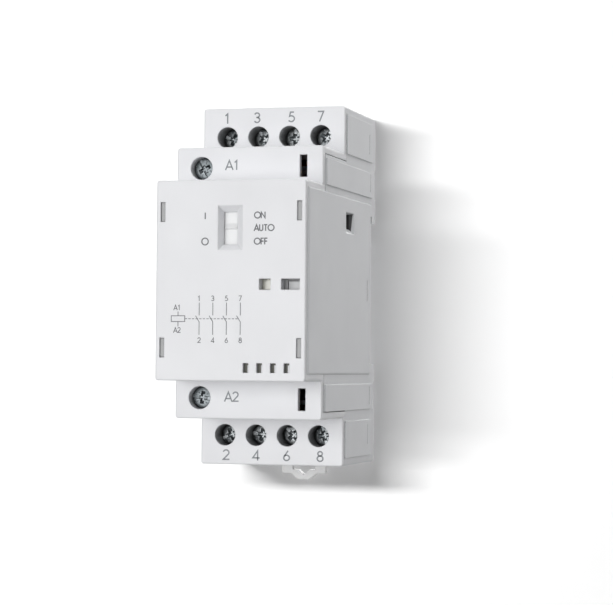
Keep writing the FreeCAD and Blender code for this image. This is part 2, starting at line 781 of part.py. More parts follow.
def clamp_screw(name, across, rise, turned, head_top, head_thick, head_width, cross_sink, shank_width, reach):
    """A clamp screw along Y: a bevelled head with a cross and a slot, and a plain shank."""
    body = new_body(name, across, rise, turned)
    seat = f"{head_top} + {head_thick}"
    profile = [
        ("0", head_top), (f"{head_width} / 2 - head_bevel", head_top),
        (f"{head_width} / 2", f"{head_top} + head_bevel"), (f"{head_width} / 2", seat),
        (f"{shank_width} / 2", seat), (f"{shank_width} / 2", f"{seat} + {reach}"), ("0", f"{seat} + {reach}"),
    ]
    outline = sketch(body, f"{name}_outline", "XY_Plane", "0", [profile])
    turn = body.newObject("PartDesign::Revolution", f"{name}_turned")
    turn.Profile = outline
    turn.ReferenceAxis = (origin_part(body, "Y_Axis"), [""])
    turn.Angle = 360
    bite(body, f"{name}_slot", head_top, f"{head_top} + slot_sink",
         rect(f"0 - {head_width}", head_width, "0 - cross_half", "cross_half"))
    arm, thin = "cross_reach", "cross_half"
    quarter = [(arm, thin), (thin, thin), (thin, arm)]
    upper = quarter + [(f"0 - {x}", z) for x, z in reversed(quarter)]
    cross = upper + [(x, f"0 - {z}") for x, z in reversed(upper)]
    bite(body, f"{name}_cross", head_top, f"{head_top} + {cross_sink}", cross)
    return body


def clamp_cage(name, across, rise, front, rear, width, high, side, front_wall, rear_wall, hole):
    """A clamp box open along Z, with the screw's hole in its thick front wall."""
    body = new_body(name, across, rise)
    top_slab(body, f"{name}_box", f"0 - {high} / 2", f"{high} / 2",
             rect(f"0 - {width} / 2", f"{width} / 2", front, rear))
    inside = rect(
        f"{side} - {width} / 2", f"{width} / 2 - {side}", f"{front} + {front_wall}", f"{rear} - {rear_wall}"
    )
    top_bite(body, f"{name}_window", f"0 - {high} / 2", f"{high} / 2", inside)
    bite(body, f"{name}_thread", front, f"{front} + {front_wall}", circle("0", "0", hole))
    return body


def fixed_contact(name, across, turned):
    """A strip from the clamp, up over the divider and in to a contact tip."""
    body = new_body(name, across, "0", turned)
    contact_front = "0 - contact_plane"
    contact_rear = "strip_thick - contact_plane"
    end = "terminal_rise + cage_high / 2 - strip_gap"
    profile = [
        (STRIP_REAR, end), (STRIP_FRONT, end), (STRIP_FRONT, STRIP_OUT), (contact_front, STRIP_OUT),
        (contact_front, "contact_reach"), (contact_rear, "contact_reach"), (contact_rear, STRIP_IN),
        (STRIP_REAR, STRIP_IN),
    ]
    side_slab(body, f"{name}_strip", "0 - strip_width / 2", "strip_width / 2", profile)
    slab(body, f"{name}_tip", f"{contact_front} - contact_thick", contact_front,
         square("0", "contact_rise", "contact_width"))
    return body


def contact_bridge(name, across):
    """The moving bridge of one pole: a bowed strip with a contact at each end."""
    body = new_body(name, across)
    rear, front = BRIDGE_REAR, f"{BRIDGE_REAR} - bridge_thick"
    bowed_rear, bowed_front = f"{rear} - bridge_bow", f"{front} - bridge_bow"
    flat = "carrier_half + floor_gap"
    slope_end = f"{flat} + bridge_bow"
    half = [(rear, "bridge_half"), (front, "bridge_half"), (front, slope_end), (bowed_front, flat)]
    other = [(depth, f"0 - ({rise})") for depth, rise in reversed(half)]
    back_half = [(bowed_rear, f"0 - ({flat})"), (bowed_rear, flat), (rear, slope_end)]
    back_low = [(rear, f"0 - ({slope_end})")]
    outline = half + other + back_low + back_half
    side_slab(body, f"{name}_strip", "0 - bridge_width / 2", "bridge_width / 2", outline)
    slab(body, f"{name}_contacts", rear, f"{rear} + contact_thick",
         *both(square("0", "contact_rise", "contact_width")))
    return body


def coil_spring(name, across, front, length):
    """A compression spring along Y, lofted through wire sections set round its helix."""
    outer, wire = size("spring_wide") / 2, size("spring_wire")
    inner, steps = outer - wire, int(size("spring_steps"))
    count = round(steps * size("spring_turns"))
    sections = []
    for number in range(count + 1):
        turn = 2 * math.pi * number / steps
        start = (length - wire) * number / count
        end = start + wire
        corners = [(inner, start), (outer, start), (outer, end), (inner, end), (inner, start)]
        sections.append(Part.makePolygon([
            FreeCAD.Vector(radius * math.cos(turn), depth, radius * math.sin(turn))
            for radius, depth in corners
        ]))
    spring = doc.addObject("Part::Feature", name)
    spring.Label = name
    spring.Shape = Part.makeLoft(sections, True, True)
    spring.setExpression("Placement.Base.x", bound(across))
    spring.setExpression("Placement.Base.y", bound(front))
    return spring


def contact_carrier():
    """The moulded carrier: a window for each bridge, a stem to the armature and two spring wings."""
    body = new_body("contact_carrier")
    half = f"{INSIDE} - cage_play - seat_gap"
    block = rect(f"0 - ({half})", half, "0 - carrier_half", "carrier_half")
    slab(body, "block", CARRIER_FRONT, CARRIER_REAR, block)
    window = rect(
        f"{FIRST_POLE} - window_width / 2", f"{FIRST_POLE} + window_width / 2", WINDOW_FRONT, WINDOW_REAR
    )
    windows = top_bite(body, "bridge_windows", "0 - carrier_half", "carrier_half", window)
    repeat(body, windows, 4, "pole_pitch")
    slab(body, "stem", f"{CARRIER_REAR} - seat_gap", ARMATURE_FRONT,
         rect("0 - stem_across", "stem_across", "0 - stem_half", "stem_half"))
    wing_in = "stack_width / 2 + cage_play + floor_gap"
    slab(body, "wings", f"{ARMATURE_FRONT} - seat_gap", WING_REAR,
         rect(wing_in, "stem_across", "0 - stem_half", "stem_half"),
         rect("0 - stem_across", f"0 - ({wing_in})", "0 - stem_half", "stem_half"))
    return body


def armature():
    body = new_body("armature")
    slab(body, "plate", ARMATURE_FRONT, ARMATURE_REAR,
         rect("0 - stack_width / 2", "stack_width / 2", "0 - core_half", "core_half"))
    ends = size("core_half")

    def end_edge(edge):
        return along(edge, 0) and near(abs(edge.CenterOfMass.z), ends)

    round_edges(body, "ends", "corner_round", end_edge)
    return body


def fixed_core():
    """The laminated E core, its legs towards the armature."""
    body = new_body("fixed_core")
    face = "0 - core_face"
    middle = "core_leg"
    inner = "core_half - core_leg"
    upper = [(YOKE_REAR, "core_half"), (face, "core_half"), (face, inner), (YOKE_FRONT, inner),
             (YOKE_FRONT, middle), (face, middle)]
    lower = [(depth, f"0 - ({rise})") for depth, rise in reversed(upper)]
    side_slab(body, "laminations", "0 - stack_width / 2", "stack_width / 2", upper + lower)
    return body


def coil_bobbin():
    """The bobbin on the core's middle leg, with an ear for each coil tab."""
    body = new_body("coil_bobbin")
    bore_across, bore_half = "stack_width / 2 + core_play", "core_leg + core_play"
    tube = rect(
        f"0 - ({bore_across}) - bobbin_wall", f"{bore_across} + bobbin_wall",
        f"0 - ({bore_half}) - bobbin_wall", f"{bore_half} + bobbin_wall",
    )
    slab(body, "tube", BOBBIN_FRONT, BOBBIN_REAR, tube)
    flange = rect("0 - bobbin_across", "bobbin_across", "0 - bobbin_half", "bobbin_half")
    slab(body, "front_flange", BOBBIN_FRONT, f"{BOBBIN_FRONT} + bobbin_wall", flange)
    slab(body, "rear_flange", f"{BOBBIN_REAR} - bobbin_wall", BOBBIN_REAR, flange)
    ear = rect(
        "0 - tab_across - tab_lead / 2 - seat_gap", "tab_lead / 2 + seat_gap - tab_across",
        "bobbin_half - seat_gap", "tab_drop + seat_gap",
    )
    slab(body, "ears", BOBBIN_FRONT, f"{BOBBIN_FRONT} + bobbin_wall", *both(ear))
    bite(body, "bore", BOBBIN_FRONT, BOBBIN_REAR,
         rect(f"0 - ({bore_across})", bore_across, f"0 - ({bore_half})", bore_half))
    return body


def coil_winding():
    body = new_body("coil_winding")
    front, rear = f"{BOBBIN_FRONT} + bobbin_wall", f"{BOBBIN_REAR} - bobbin_wall"
    outline = rect("0 - winding_across", "winding_across", "0 - winding_half", "winding_half")
    slab(body, "wire", front, rear, outline)
    across, half = "stack_width / 2 + core_play + bobbin_wall", "core_leg + core_play + bobbin_wall"
    bite(body, "inside", front, rear, rect(f"0 - ({across})", across, f"0 - ({half})", half))
    edge_at = size("width") / 2 - size("side_wall") - size("winding_margin")

    def corner(edge):
        return along(edge, 1) and near(abs(edge.CenterOfMass.x), edge_at)

    round_edges(body, "turns", "winding_round", corner)
    return body


def coil_tab(name, sign):
    """The strip from a coil clamp to the bobbin's ear, above or below the centre."""
    body = new_body(name)
    left, right = "0 - coil_across - tab_width / 2", "tab_width / 2 - coil_across"
    lead_left, lead_right = "0 - tab_across - tab_lead / 2", "tab_lead / 2 - tab_across"
    end = "coil_rise + coil_cage_high / 2 - strip_gap"
    arm_high, arm_low = "tab_elbow", "tab_elbow - tab_lead"
    outline = [
        (left, end), (left, arm_low), (lead_left, arm_low), (lead_left, "tab_drop - tab_thick"),
        (lead_right, "tab_drop - tab_thick"), (lead_right, arm_high), (right, arm_high), (right, end),
    ]
    lead = rect(lead_left, lead_right, "tab_drop - tab_thick", "tab_drop")
    if sign < 0:
        outline, lead = mirrored([outline, lead])
    slab(body, f"{name}_plate", TAB_FRONT, TAB_REAR, outline)
    slab(body, f"{name}_lead", f"{TAB_REAR} - seat_gap", BOBBIN_FRONT, lead)
    return body


def selector_slider():
    """The three-position slider behind the nose, with a finger ridge in the throat."""
    body = new_body("selector_slider")
    centre = "throat_centre"
    over = "slider_throw + guide_wall / 2"
    slab(body, "slide_plate", SLIDER_FRONT, SLIDER_REAR,
         rect(f"{centre} - slider_width / 2", f"{centre} + slider_width / 2",
              f"throat_low - ({over})", f"throat_high + {over}"))
    middle = "(throat_low + throat_high) / 2"
    tip = f"{SLIDER_FRONT} - grip_rise"
    foot = f"{SLIDER_FRONT} + seat_gap"
    ridge = [(foot, f"{middle} - grip_lead"), (tip, middle), (foot, f"{middle} + grip_high")]
    side_slab(body, "grip", f"{centre} - throat_width / 2 + slider_play",
              f"{centre} + throat_width / 2 - slider_play", ridge)
    return body


def led_lens():
    """The light pipe in the square window, flanged behind the nose and resting on the lamp."""
    body = new_body("led_lens")
    flange_front = "window_boss + slider_play - nose_depth"
    shaft = rect(
        "light_left + light_gap", "light_right - slider_play",
        "window_low + slider_play", "window_high - light_gap",
    )
    slab(body, "pipe", f"{flange_front} - light_gap", f"{BOARD_FRONT} - lamp_high", shaft)
    slab(body, "pipe_flange", flange_front, f"{flange_front} + light_gap",
         rect("light_left - light_gap", "light_right + light_gap", "window_low - light_gap", "window_high"))
    return body


def indicator_flag():
    """The flag that stands on the carrier and shows behind the wide window."""
    body = new_body("indicator_flag")
    front = "window_boss + floor_gap - nose_depth"
    right = f"{INSIDE} - cage_play"
    arm_left = "board_right + light_gap + flag_clear"
    slab(body, "blade", front, f"{front} + flag_thick",
         rect("flag_left + 2 * light_gap", right, "window_low - light_gap", "window_high - light_gap"))
    slab(body, "arm", f"{front} + flag_thick - seat_gap", CARRIER_FRONT,
         rect(arm_left, f"{right} - light_gap", "window_low", "window_low + flag_arm"))
    return body


def control_board():
    """The circuit board behind the nose, with the lamp, a rectifier block and a varistor."""
    body = new_body("control_board")
    rear = f"{BOARD_FRONT} + board_thick"
    outline = rect("0 - board_left", "board_right", "0 - board_low", "board_high")
    slab(body, "board", BOARD_FRONT, rear, outline)
    slab(body, "lamp", f"{BOARD_FRONT} - lamp_high", BOARD_FRONT,
         rect("light_left + slider_play", "light_right - slider_play", "window_low", "window_high"))
    slab(body, "rectifier", rear, f"{rear} + block_thick",
         rect("0 - rectifier_left", "0 - rectifier_right", "0 - rectifier_low", "0 - rectifier_high"))
    slab(body, "varistor", rear, f"{rear} + block_thick",
         circle("varistor_across", "0 - varistor_drop", "varistor_width"))
    return body


def din_clip():
    """The rail clip: a nose that locks behind the rail, two legs and a pull tab with a pointed bar."""
    body = new_body("din_clip", "clip_centre")
    half = "clip_width / 2"
    inner = "clip_width / 2 - clip_leg"
    foot, top = "0 - clip_foot", "0 - clip_nose"
    flare = f"{inner} + clip_flare"
    point = f"{foot} - clip_point"
    outline = [
        (f"0 - ({half})", top), (f"0 - ({half})", foot), (f"0 - ({flare})", foot),
        ("0 - clip_flat", point), ("clip_flat", point), (flare, foot), (half, foot), (half, top),
    ]
    slab(body, "clip_plate", CLIP_FRONT, CLIP_REAR, outline)
    sill = f"{foot} + clip_sill"
    window = [
        (f"0 - ({inner})", f"{top} - clip_bar"), (f"0 - ({inner})", sill), ("0 - clip_shelf", sill),
        ("0", f"{foot} - clip_dip"), ("clip_shelf", sill), (inner, sill), (inner, f"{top} - clip_bar"),
    ]
    bite(body, "clip_window", CLIP_FRONT, CLIP_REAR, window)
    across, leg_end = size("clip_width") / 2, -size("clip_foot")

    def leg_corner(edge):
        centre = edge.CenterOfMass
        return along(edge, 1) and near(abs(centre.x), across) and near(centre.z, leg_end)

    round_edges(body, "clip_ends", "clip_corner", leg_corner)
    nose, rear = -size("clip_nose"), size("rail_slit") + size("clip_play") + size("clip_thick")

    def lead_edge(edge):
        centre = edge.CenterOfMass
        return along(edge, 0) and near(centre.z, nose) and near(centre.y, rear)

    bevel_edges(body, "clip_lead", "clip_lead", lead_edge)
    return body


def pole_place(number):
    return f"{FIRST_POLE} + {number} * pole_pitch"


def build():
    add_sizes()
    parts = [main_housing(), front_cover()]
    numbers = {1: (1, 3, 5, 7), -1: (2, 4, 6, 8)}
    for sign in ENDS:
        rise = "terminal_rise" if sign > 0 else "0 - terminal_rise"
        for pole in POLES:
            across, label = pole_place(pole), numbers[sign][pole]
            parts.append(clamp_screw(
                f"terminal_screw_{label}", across, rise, SCREW_TURN * pole, HEAD_TOP, "head_thick",
                "head_width", "cross_sink", "screw_width", "screw_reach",
            ))
            parts.append(clamp_cage(
                f"terminal_cage_{label}", across, rise, CAGE_FRONT, CAGE_REAR, "cage_width", "cage_high",
                "cage_side", "cage_front", "cage_rear", "screw_width + 2 * thread_play",
            ))
            parts.append(fixed_contact(f"fixed_contact_{label}", across, 0 if sign > 0 else 180))
        coil_rise = "coil_rise" if sign > 0 else "0 - coil_rise"
        mark = "a1" if sign > 0 else "a2"
        parts.append(clamp_screw(
            f"coil_screw_{mark}", "0 - coil_across", coil_rise, COIL_SCREW_TURN * sign, COIL_HEAD_TOP,
            "coil_head_thick", "coil_head", "coil_cross_sink", "coil_screw", "coil_reach",
        ))
        parts.append(clamp_cage(
            f"coil_cage_{mark}", "0 - coil_across", coil_rise, COIL_CAGE_FRONT, COIL_CAGE_REAR,
            "coil_cage_width", "coil_cage_high", "coil_cage_side", "coil_cage_front", "coil_cage_rear",
            "coil_screw + 2 * thread_play",
        ))
        parts.append(coil_tab(f"coil_tab_{mark}", sign))
    for pole in POLES:
        across = pole_place(pole)
        parts.append(contact_bridge(f"contact_bridge_{pole + 1}", across))
        length = size("window_deep") - size("bridge_thick")
        parts.append(coil_spring(f"contact_spring_{pole + 1}", across, WINDOW_FRONT, length))
    parts += [contact_carrier(), armature(), fixed_core(), coil_bobbin(), coil_winding()]
    length = size("travel") + size("closed_gap") + size("armature_thick") + 2 * size("strip_gap")
    length -= size("carrier_wall")
    for name, across in (("left", "0 - spring_across"), ("right", "spring_across")):
        parts.append(coil_spring(f"return_spring_{name}", across, WING_REAR, length))
    parts += [selector_slider(), led_lens(), indicator_flag(), control_board(), din_clip()]
    return parts


def check(parts):
    """Stop if any feature failed or any piece is empty or not a valid solid."""
    failed = [item.Name for item in doc.Objects if {"Invalid", "Error"} & set(item.State)]
    if failed:
        raise RuntimeError(f"failed features: {failed}")
    for part in parts:
        if part.Shape.isNull() or not part.Shape.isValid() or len(part.Shape.Solids) != 1:
            raise RuntimeError(f"{part.Label} is not one valid solid")


def write(parts):
    os.makedirs("parts", exist_ok=True)
    for part in parts:
        part.Shape.exportStep(f"parts/{part.Label}.step")
        print(f"{part.Label}: {part.Shape.Volume:.2f} mm3")


all_parts = build()
doc.recompute()
check(all_parts)
write(all_parts)
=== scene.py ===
import json
import math

import bmesh
import bpy
from mathutils import Matrix, Vector

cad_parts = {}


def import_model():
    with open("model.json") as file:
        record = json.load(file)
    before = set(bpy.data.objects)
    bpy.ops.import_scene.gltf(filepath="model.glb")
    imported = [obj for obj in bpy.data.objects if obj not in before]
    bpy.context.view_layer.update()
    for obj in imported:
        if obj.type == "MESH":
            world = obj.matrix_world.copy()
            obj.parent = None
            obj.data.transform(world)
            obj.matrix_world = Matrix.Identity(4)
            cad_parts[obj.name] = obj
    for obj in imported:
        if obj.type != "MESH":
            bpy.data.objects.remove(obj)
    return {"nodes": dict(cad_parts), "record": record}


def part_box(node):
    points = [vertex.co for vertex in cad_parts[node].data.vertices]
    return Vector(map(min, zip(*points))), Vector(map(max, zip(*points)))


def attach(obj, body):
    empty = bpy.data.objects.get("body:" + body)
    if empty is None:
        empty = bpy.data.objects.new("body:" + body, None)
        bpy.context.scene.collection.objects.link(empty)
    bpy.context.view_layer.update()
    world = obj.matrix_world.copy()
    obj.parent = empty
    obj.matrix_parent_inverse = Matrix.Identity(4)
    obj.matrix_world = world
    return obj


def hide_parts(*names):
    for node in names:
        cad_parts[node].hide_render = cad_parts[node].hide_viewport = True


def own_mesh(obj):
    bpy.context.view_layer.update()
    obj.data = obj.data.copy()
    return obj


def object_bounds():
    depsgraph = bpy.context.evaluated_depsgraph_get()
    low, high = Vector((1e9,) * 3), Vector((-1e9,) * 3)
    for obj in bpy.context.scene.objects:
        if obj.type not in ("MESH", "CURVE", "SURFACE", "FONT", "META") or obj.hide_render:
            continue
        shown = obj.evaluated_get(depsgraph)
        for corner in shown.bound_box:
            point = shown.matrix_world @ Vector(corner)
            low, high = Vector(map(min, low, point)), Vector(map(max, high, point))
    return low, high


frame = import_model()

MM = 0.001
cad_low, cad_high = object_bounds()

# ---------------------------------------------------------------- places read from the frame
cover_low, cover_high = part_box("front_cover")
NOSE_Y = cover_low.y  # the front faces of the nose, the coil tiers and the power tiers
COIL_Y = NOSE_Y + 14.0 * MM
POWER_Y = NOSE_Y + 33.0 * MM
SIDE_X = cover_high.x  # the flat of the side, which the raised panels stand on
PANEL_X = cad_high.x
UPPER_TERMINALS = (1, 3, 5, 7)
LOWER_TERMINALS = (2, 4, 6, 8)


def middle(node):
    """The middle of a CAD node's box at rest."""
    low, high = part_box(node)
    return (low + high) / 2


# ---------------------------------------------------------------- materials
class Shader:
    """A node material built from a Principled shader, with short helpers for what feeds it."""

    def __init__(self, name, colour, roughness, metallic=0.0, **sockets):
        self.material = bpy.data.materials.new(name)
        self.material.use_nodes = True
        self.tree = self.material.node_tree
        self.surface = self.tree.nodes["Principled BSDF"]
        self.surface.inputs["Base Color"].default_value = (*colour, 1.0)
        self.surface.inputs["Roughness"].default_value = roughness
        self.surface.inputs["Metallic"].default_value = metallic
        for socket, value in sockets.items():
            self.surface.inputs[socket.replace("_", " ")].default_value = value
        self.colour = (*colour, 1.0)
        self.place = self.node("ShaderNodeTexCoord").outputs["Object"]

    def node(self, kind, **settings):
        made = self.tree.nodes.new(kind)
        for key, value in settings.items():
            setattr(made, key, value)
        return made

    def link(self, source, target):
        self.tree.links.new(source, target)

    def noise(self, size_mm, detail=2.0, stretch=(1.0, 1.0, 1.0), roughness=0.5):
        """A noise whose features are about this large, drawn out along an axis by a stretch above 1."""
        mapping = self.node("ShaderNodeMapping")
        mapping.inputs["Scale"].default_value = tuple(1 / s for s in stretch)
        self.link(self.place, mapping.inputs["Vector"])
        made = self.node("ShaderNodeTexNoise")
        made.inputs["Scale"].default_value = 1 / (size_mm * MM)
        made.inputs["Detail"].default_value = detail
        made.inputs["Roughness"].default_value = roughness
        self.link(mapping.outputs["Vector"], made.inputs["Vector"])
        return made.outputs["Fac"]

    def span(self, value, low, high, to_low, to_high):
        """A value carried from one range to another, clamped."""
        made = self.node("ShaderNodeMapRange", clamp=True)
        for socket, number in (("From Min", low), ("From Max", high), ("To Min", to_low), ("To Max", to_high)):
            made.inputs[socket].default_value = number
        self.link(value, made.inputs["Value"])
        return made.outputs["Result"]

    def maths(self, operation, first, second):
        made = self.node("ShaderNodeMath", operation=operation)
        for index, value in enumerate((first, second)):
            if isinstance(value, (int, float)):
                made.inputs[index].default_value = value
            else:
                self.link(value, made.inputs[index])
        return made.outputs["Value"]

    def mix(self, factor, first, second):
        """A colour between two, by a factor. Either may be a fixed colour or a socket."""
        made = self.node("ShaderNodeMix", data_type="RGBA")
        self.link(factor, made.inputs["Factor"])
        for socket, value in ((made.inputs[6], first), (made.inputs[7], second)):
            if isinstance(value, tuple):
                socket.default_value = value
            else:
                self.link(value, socket)
        return made.outputs[2]

    def edges(self, width_mm):
        """From 0 on a flat to 1 on a sharp edge, and the normal that rounds the edge off."""
        bevel = self.node("ShaderNodeBevel", samples=6)
        bevel.inputs["Radius"].default_value = width_mm * MM
        geometry = self.node("ShaderNodeNewGeometry")
        dot = self.node("ShaderNodeVectorMath", operation="DOT_PRODUCT")
        self.link(bevel.outputs["Normal"], dot.inputs[0])
        self.link(geometry.outputs["Normal"], dot.inputs[1])
        mask = self.span(dot.outputs["Value"], 0.995, 0.80, 0.0, 1.0)
        return mask, bevel.outputs["Normal"]

    def crevices(self, reach_mm, low=0.35, high=0.95):
        """From 1 in a deep corner to 0 in the open."""
        shade = self.node("ShaderNodeAmbientOcclusion", samples=6)
        shade.inputs["Distance"].default_value = reach_mm * MM
        return self.span(shade.outputs["AO"], low, high, 1.0, 0.0)

    def bump(self, height, strength, distance_mm, normal=None):
        made = self.node("ShaderNodeBump")
        made.inputs["Strength"].default_value = strength
        made.inputs["Distance"].default_value = distance_mm * MM
        self.link(height, made.inputs["Height"])
        if normal is not None:
            self.link(normal, made.inputs["Normal"])
        return made.outputs["Normal"]

    def set(self, socket, source):
        self.link(source, self.surface.inputs[socket])

    def axis(self, index):
        split = self.node("ShaderNodeSeparateXYZ")
        self.link(self.place, split.inputs["Vector"])
        return split.outputs[index]


def scaled(colour, factor):
    """A colour made lighter or darker, with its alpha."""
    return tuple(min(1.0, c * factor) for c in colour[:3]) + (1.0,)


def moulded(name, colour, roughness=0.42, grain=0.12, edge_width=0.22, wear_and_highlight=1.06, corner_shade=0.80, deep=0.07):
    """Injection-moulded plastic: fine spark grain, slow mottling, worn edges lightened, which also paints a
    highlight on them, painted shade in corners and in deep hollows.
    """
    s = Shader(name, colour, roughness)
    mottle = s.span(s.noise(14, 3), 0.3, 0.7, 0.0, 1.0)
    body = s.mix(mottle, scaled(colour, 0.985), scaled(colour, 1.012))
    edge, rounded = s.edges(edge_width)
    # Worn edges are lightened; this also paints a highlight along the edges.
    worn_and_highlit = s.maths("MULTIPLY", edge, s.span(s.noise(1.1, 3), 0.35, 0.6, 0.25, 1.0))
    body = s.mix(worn_and_highlit, body, scaled(colour, wear_and_highlight))
    # Painted shade: corners and creases darkened by an occlusion mask.
    body = s.mix(s.maths("MULTIPLY", s.crevices(1.6), 0.6), body, scaled(colour, corner_shade))
    # Painted shade in deep hollows: the narrow windows of the nose darken little, the deep screw wells of the
    # power tiers fully.
    further_back = s.span(s.axis(1), COIL_Y, POWER_Y, 0.2, 1.0)
    wells = s.maths("MULTIPLY", s.crevices(9, 0.10, 0.42), further_back)
    body = s.mix(wells, body, scaled(colour, deep))
    s.set("Base Color", body)
    polish = s.span(s.noise(6, 4), 0.3, 0.7, roughness - 0.04, roughness + 0.05)
    s.set("Roughness", s.maths("SUBTRACT", polish, s.maths("MULTIPLY", worn_and_highlit, 0.1)))
    s.set("Normal", s.bump(s.noise(0.16, 2), grain, 0.02, rounded))
    return s.material


def metal(
    name, colour, roughness=0.3, brush=(1, 1, 1), brush_size=0.5, strength=0.12, tint=None, edge=1.12, crevice_shade=0.5
):
    """Bare or plated metal: drawn or tumbled texture, blotches in the plating, edges painted brighter as a
    highlight and painted shade in crevices.
    """
    s = Shader(name, colour, roughness, 1.0)
    blotch = s.span(s.noise(2.2, 4), 0.35, 0.68, 0.0, 1.0)
    body = s.mix(blotch, scaled(colour, 1.03), tint or scaled(colour, 0.88))
    mask, rounded = s.edges(0.12)
    # Painted highlight: edges lightened.
    body = s.mix(mask, body, scaled(colour, edge))
    # Painted shade: crevices darkened by an occlusion mask.
    body = s.mix(s.maths("MULTIPLY", s.crevices(1.0), crevice_shade), body, scaled(colour, 0.45))
    s.set("Base Color", body)
    lines = s.noise(brush_size, 4, brush)
    s.set("Roughness", s.span(lines, 0.3, 0.7, max(0.08, roughness - 0.09), roughness + 0.12))
    s.set("Normal", s.bump(lines, strength, 0.02, rounded))
    return s.material


def layered(name, colour, joint_colour, bloom, axis, pitch_mm, rough):
    """Metal in layers along an axis, as core plates or wound wire: dark joints and a blotchy bloom."""
    s = Shader(name, colour, rough, 1.0)
    phase = s.maths("FRACT", s.maths("MULTIPLY", s.axis(axis), 1 / (pitch_mm * MM)), 0.0)
    joint = s.span(s.maths("ABSOLUTE", s.maths("SUBTRACT", phase, 0.5), 0.0), 0.36, 0.48, 0.0, 1.0)
    body = s.mix(joint, colour + (1.0,), joint_colour)
    body = s.mix(s.span(s.noise(3, 4), 0.55, 0.75, 0.0, 0.5), body, bloom)
    s.set("Base Color", body)
    s.set("Roughness", s.span(s.noise(0.6, 3), 0.3, 0.7, rough - 0.08, rough + 0.13))
    s.set("Normal", s.bump(joint, -0.5, 0.05))
    return s.material


def circuit_board():
    """Green laminate with darker tracks, and the blocks that stand off it in their own colours."""
    green = (0.02, 0.13, 0.05)
    s = Shader("board_green", green, 0.3)
    low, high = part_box("control_board")
    lamp_depth = low.y + 1.0 * MM
    block_depth = high.y - 2.4 * MM
    tracks = s.span(s.noise(1.6, 0, (3.0, 1.0, 0.6)), 0.48, 0.52, 0.0, 1.0)
    body = s.mix(tracks, green + (1.0,), (0.035, 0.19, 0.07, 1.0))
    depth = s.axis(1)
    in_front = s.maths("LESS_THAN", depth, lamp_depth - 0.02 * MM)
    behind = s.maths("GREATER_THAN", depth, block_depth + 0.02 * MM)
    right = s.maths("GREATER_THAN", s.axis(0), 0.0)
    block = s.mix(right, (0.02, 0.02, 0.022, 1.0), (0.05, 0.13, 0.40, 1.0))
    body = s.mix(in_front, body, (0.80, 0.79, 0.70, 1.0))
    body = s.mix(behind, body, block)
    s.set("Base Color", body)
    s.set("Roughness", s.span(s.noise(2, 3), 0.3, 0.7, 0.22, 0.42))
    s.set("Normal", s.bump(tracks, 0.25, 0.03))
    return s.material


def lens():
    """The light pipe's clear cream plastic."""
    colour = (0.80, 0.79, 0.70)
    s = Shader("lens_cream", colour, 0.18, 0.0, Transmission_Weight=0.15, Coat_Weight=0.3)
    s.set("Base Color", s.mix(s.noise(1.2, 3), scaled(colour, 0.95), scaled(colour, 1.04)))
    s.set("Roughness", s.span(s.noise(0.8, 3), 0.3, 0.7, 0.14, 0.26))
    s.set("Normal", s.bump(s.noise(0.25, 2), 0.1, 0.02))
    return s.material


def ink(name, colour):
    """Printed marking: slightly uneven ink with a soft sheen."""
    s = Shader(name, colour, 0.5)
    uneven = s.span(s.noise(0.35, 3), 0.35, 0.65, 0.0, 1.0)
    s.set("Base Color", s.mix(uneven, scaled(colour, 0.9), scaled(colour, 1.12)))
    s.set("Roughness", s.span(s.noise(0.5, 2), 0.3, 0.7, 0.42, 0.6))
    s.set("Normal", s.bump(s.noise(0.12, 2), 0.1, 0.01))
    return s.material


HOUSING_GREY = (0.775, 0.785, 0.805)
COVER_GREY = (0.785, 0.79, 0.81)
LOOKS = {
    "housing_plastic": moulded("housing_grain", HOUSING_GREY, 0.46, 0.16),
    "cover_plastic": moulded("cover_satin", COVER_GREY, 0.40, 0.09, edge_width=0.4),
    "selector_plastic": moulded("selector_white", (0.86, 0.865, 0.87), 0.36, 0.05, deep=0.5),
    "clip_plastic": moulded("clip_natural", (0.80, 0.80, 0.80), 0.38, 0.08),
    "inner_plastic": moulded("inner_black", (0.035, 0.035, 0.038), 0.5, 0.2, wear_and_highlight=1.8, corner_shade=0.6),
    "flag_plastic": moulded("flag_grey", (0.66, 0.665, 0.67), 0.45, 0.08, deep=0.7),
    "lens_plastic": lens(),
    "board_laminate": circuit_board(),
    "zinc_steel": metal("zinc_bright", (0.34, 0.37, 0.38), 0.36, tint=(0.20, 0.24, 0.25, 1.0)),
    "clamp_steel": metal(
        "clamp_tumbled", (0.66, 0.67, 0.68), 0.34, brush_size=0.8, tint=(0.58, 0.57, 0.52, 1.0)
    ),
    "core_iron": layered(
        "core_iron_plates", (0.30, 0.30, 0.31), (0.05, 0.045, 0.04, 1.0), (0.22, 0.11, 0.06, 1.0), 0, 0.5, 0.42
    ),
    "contact_copper": metal(
        "contact_strip", (0.80, 0.50, 0.30), 0.3, (1, 1, 14), 0.3, tint=(0.62, 0.34, 0.20, 1.0)
    ),
    "winding_wire": layered(
        "winding_enamel", (0.62, 0.26, 0.10), (0.16, 0.05, 0.02, 1.0), (0.45, 0.16, 0.06, 1.0), 1, 0.28, 0.25
    ),
    "spring_steel": metal("spring_wire", (0.55, 0.56, 0.58), 0.28, brush_size=0.25),
}
ZINC = metal(
    "screw_zinc", (0.46, 0.48, 0.49), 0.42, brush_size=0.3, strength=0.3,
    tint=(0.17, 0.19, 0.20, 1.0), crevice_shade=0.2,
)
# A darker copy of the screw zinc, painting the shade on the coil screws deep in their wells.
SHADED_ZINC = metal(
    "screw_zinc_shaded", (0.20, 0.215, 0.225), 0.42, brush_size=0.3, strength=0.3,
    tint=(0.10, 0.115, 0.12, 1.0), crevice_shade=0.2,
)
# A darker grey than the housing, painting the shade in the corner slots.
TONGUE = moulded("tongue_grey", (0.40, 0.405, 0.41), 0.46, 0.1, deep=0.8)
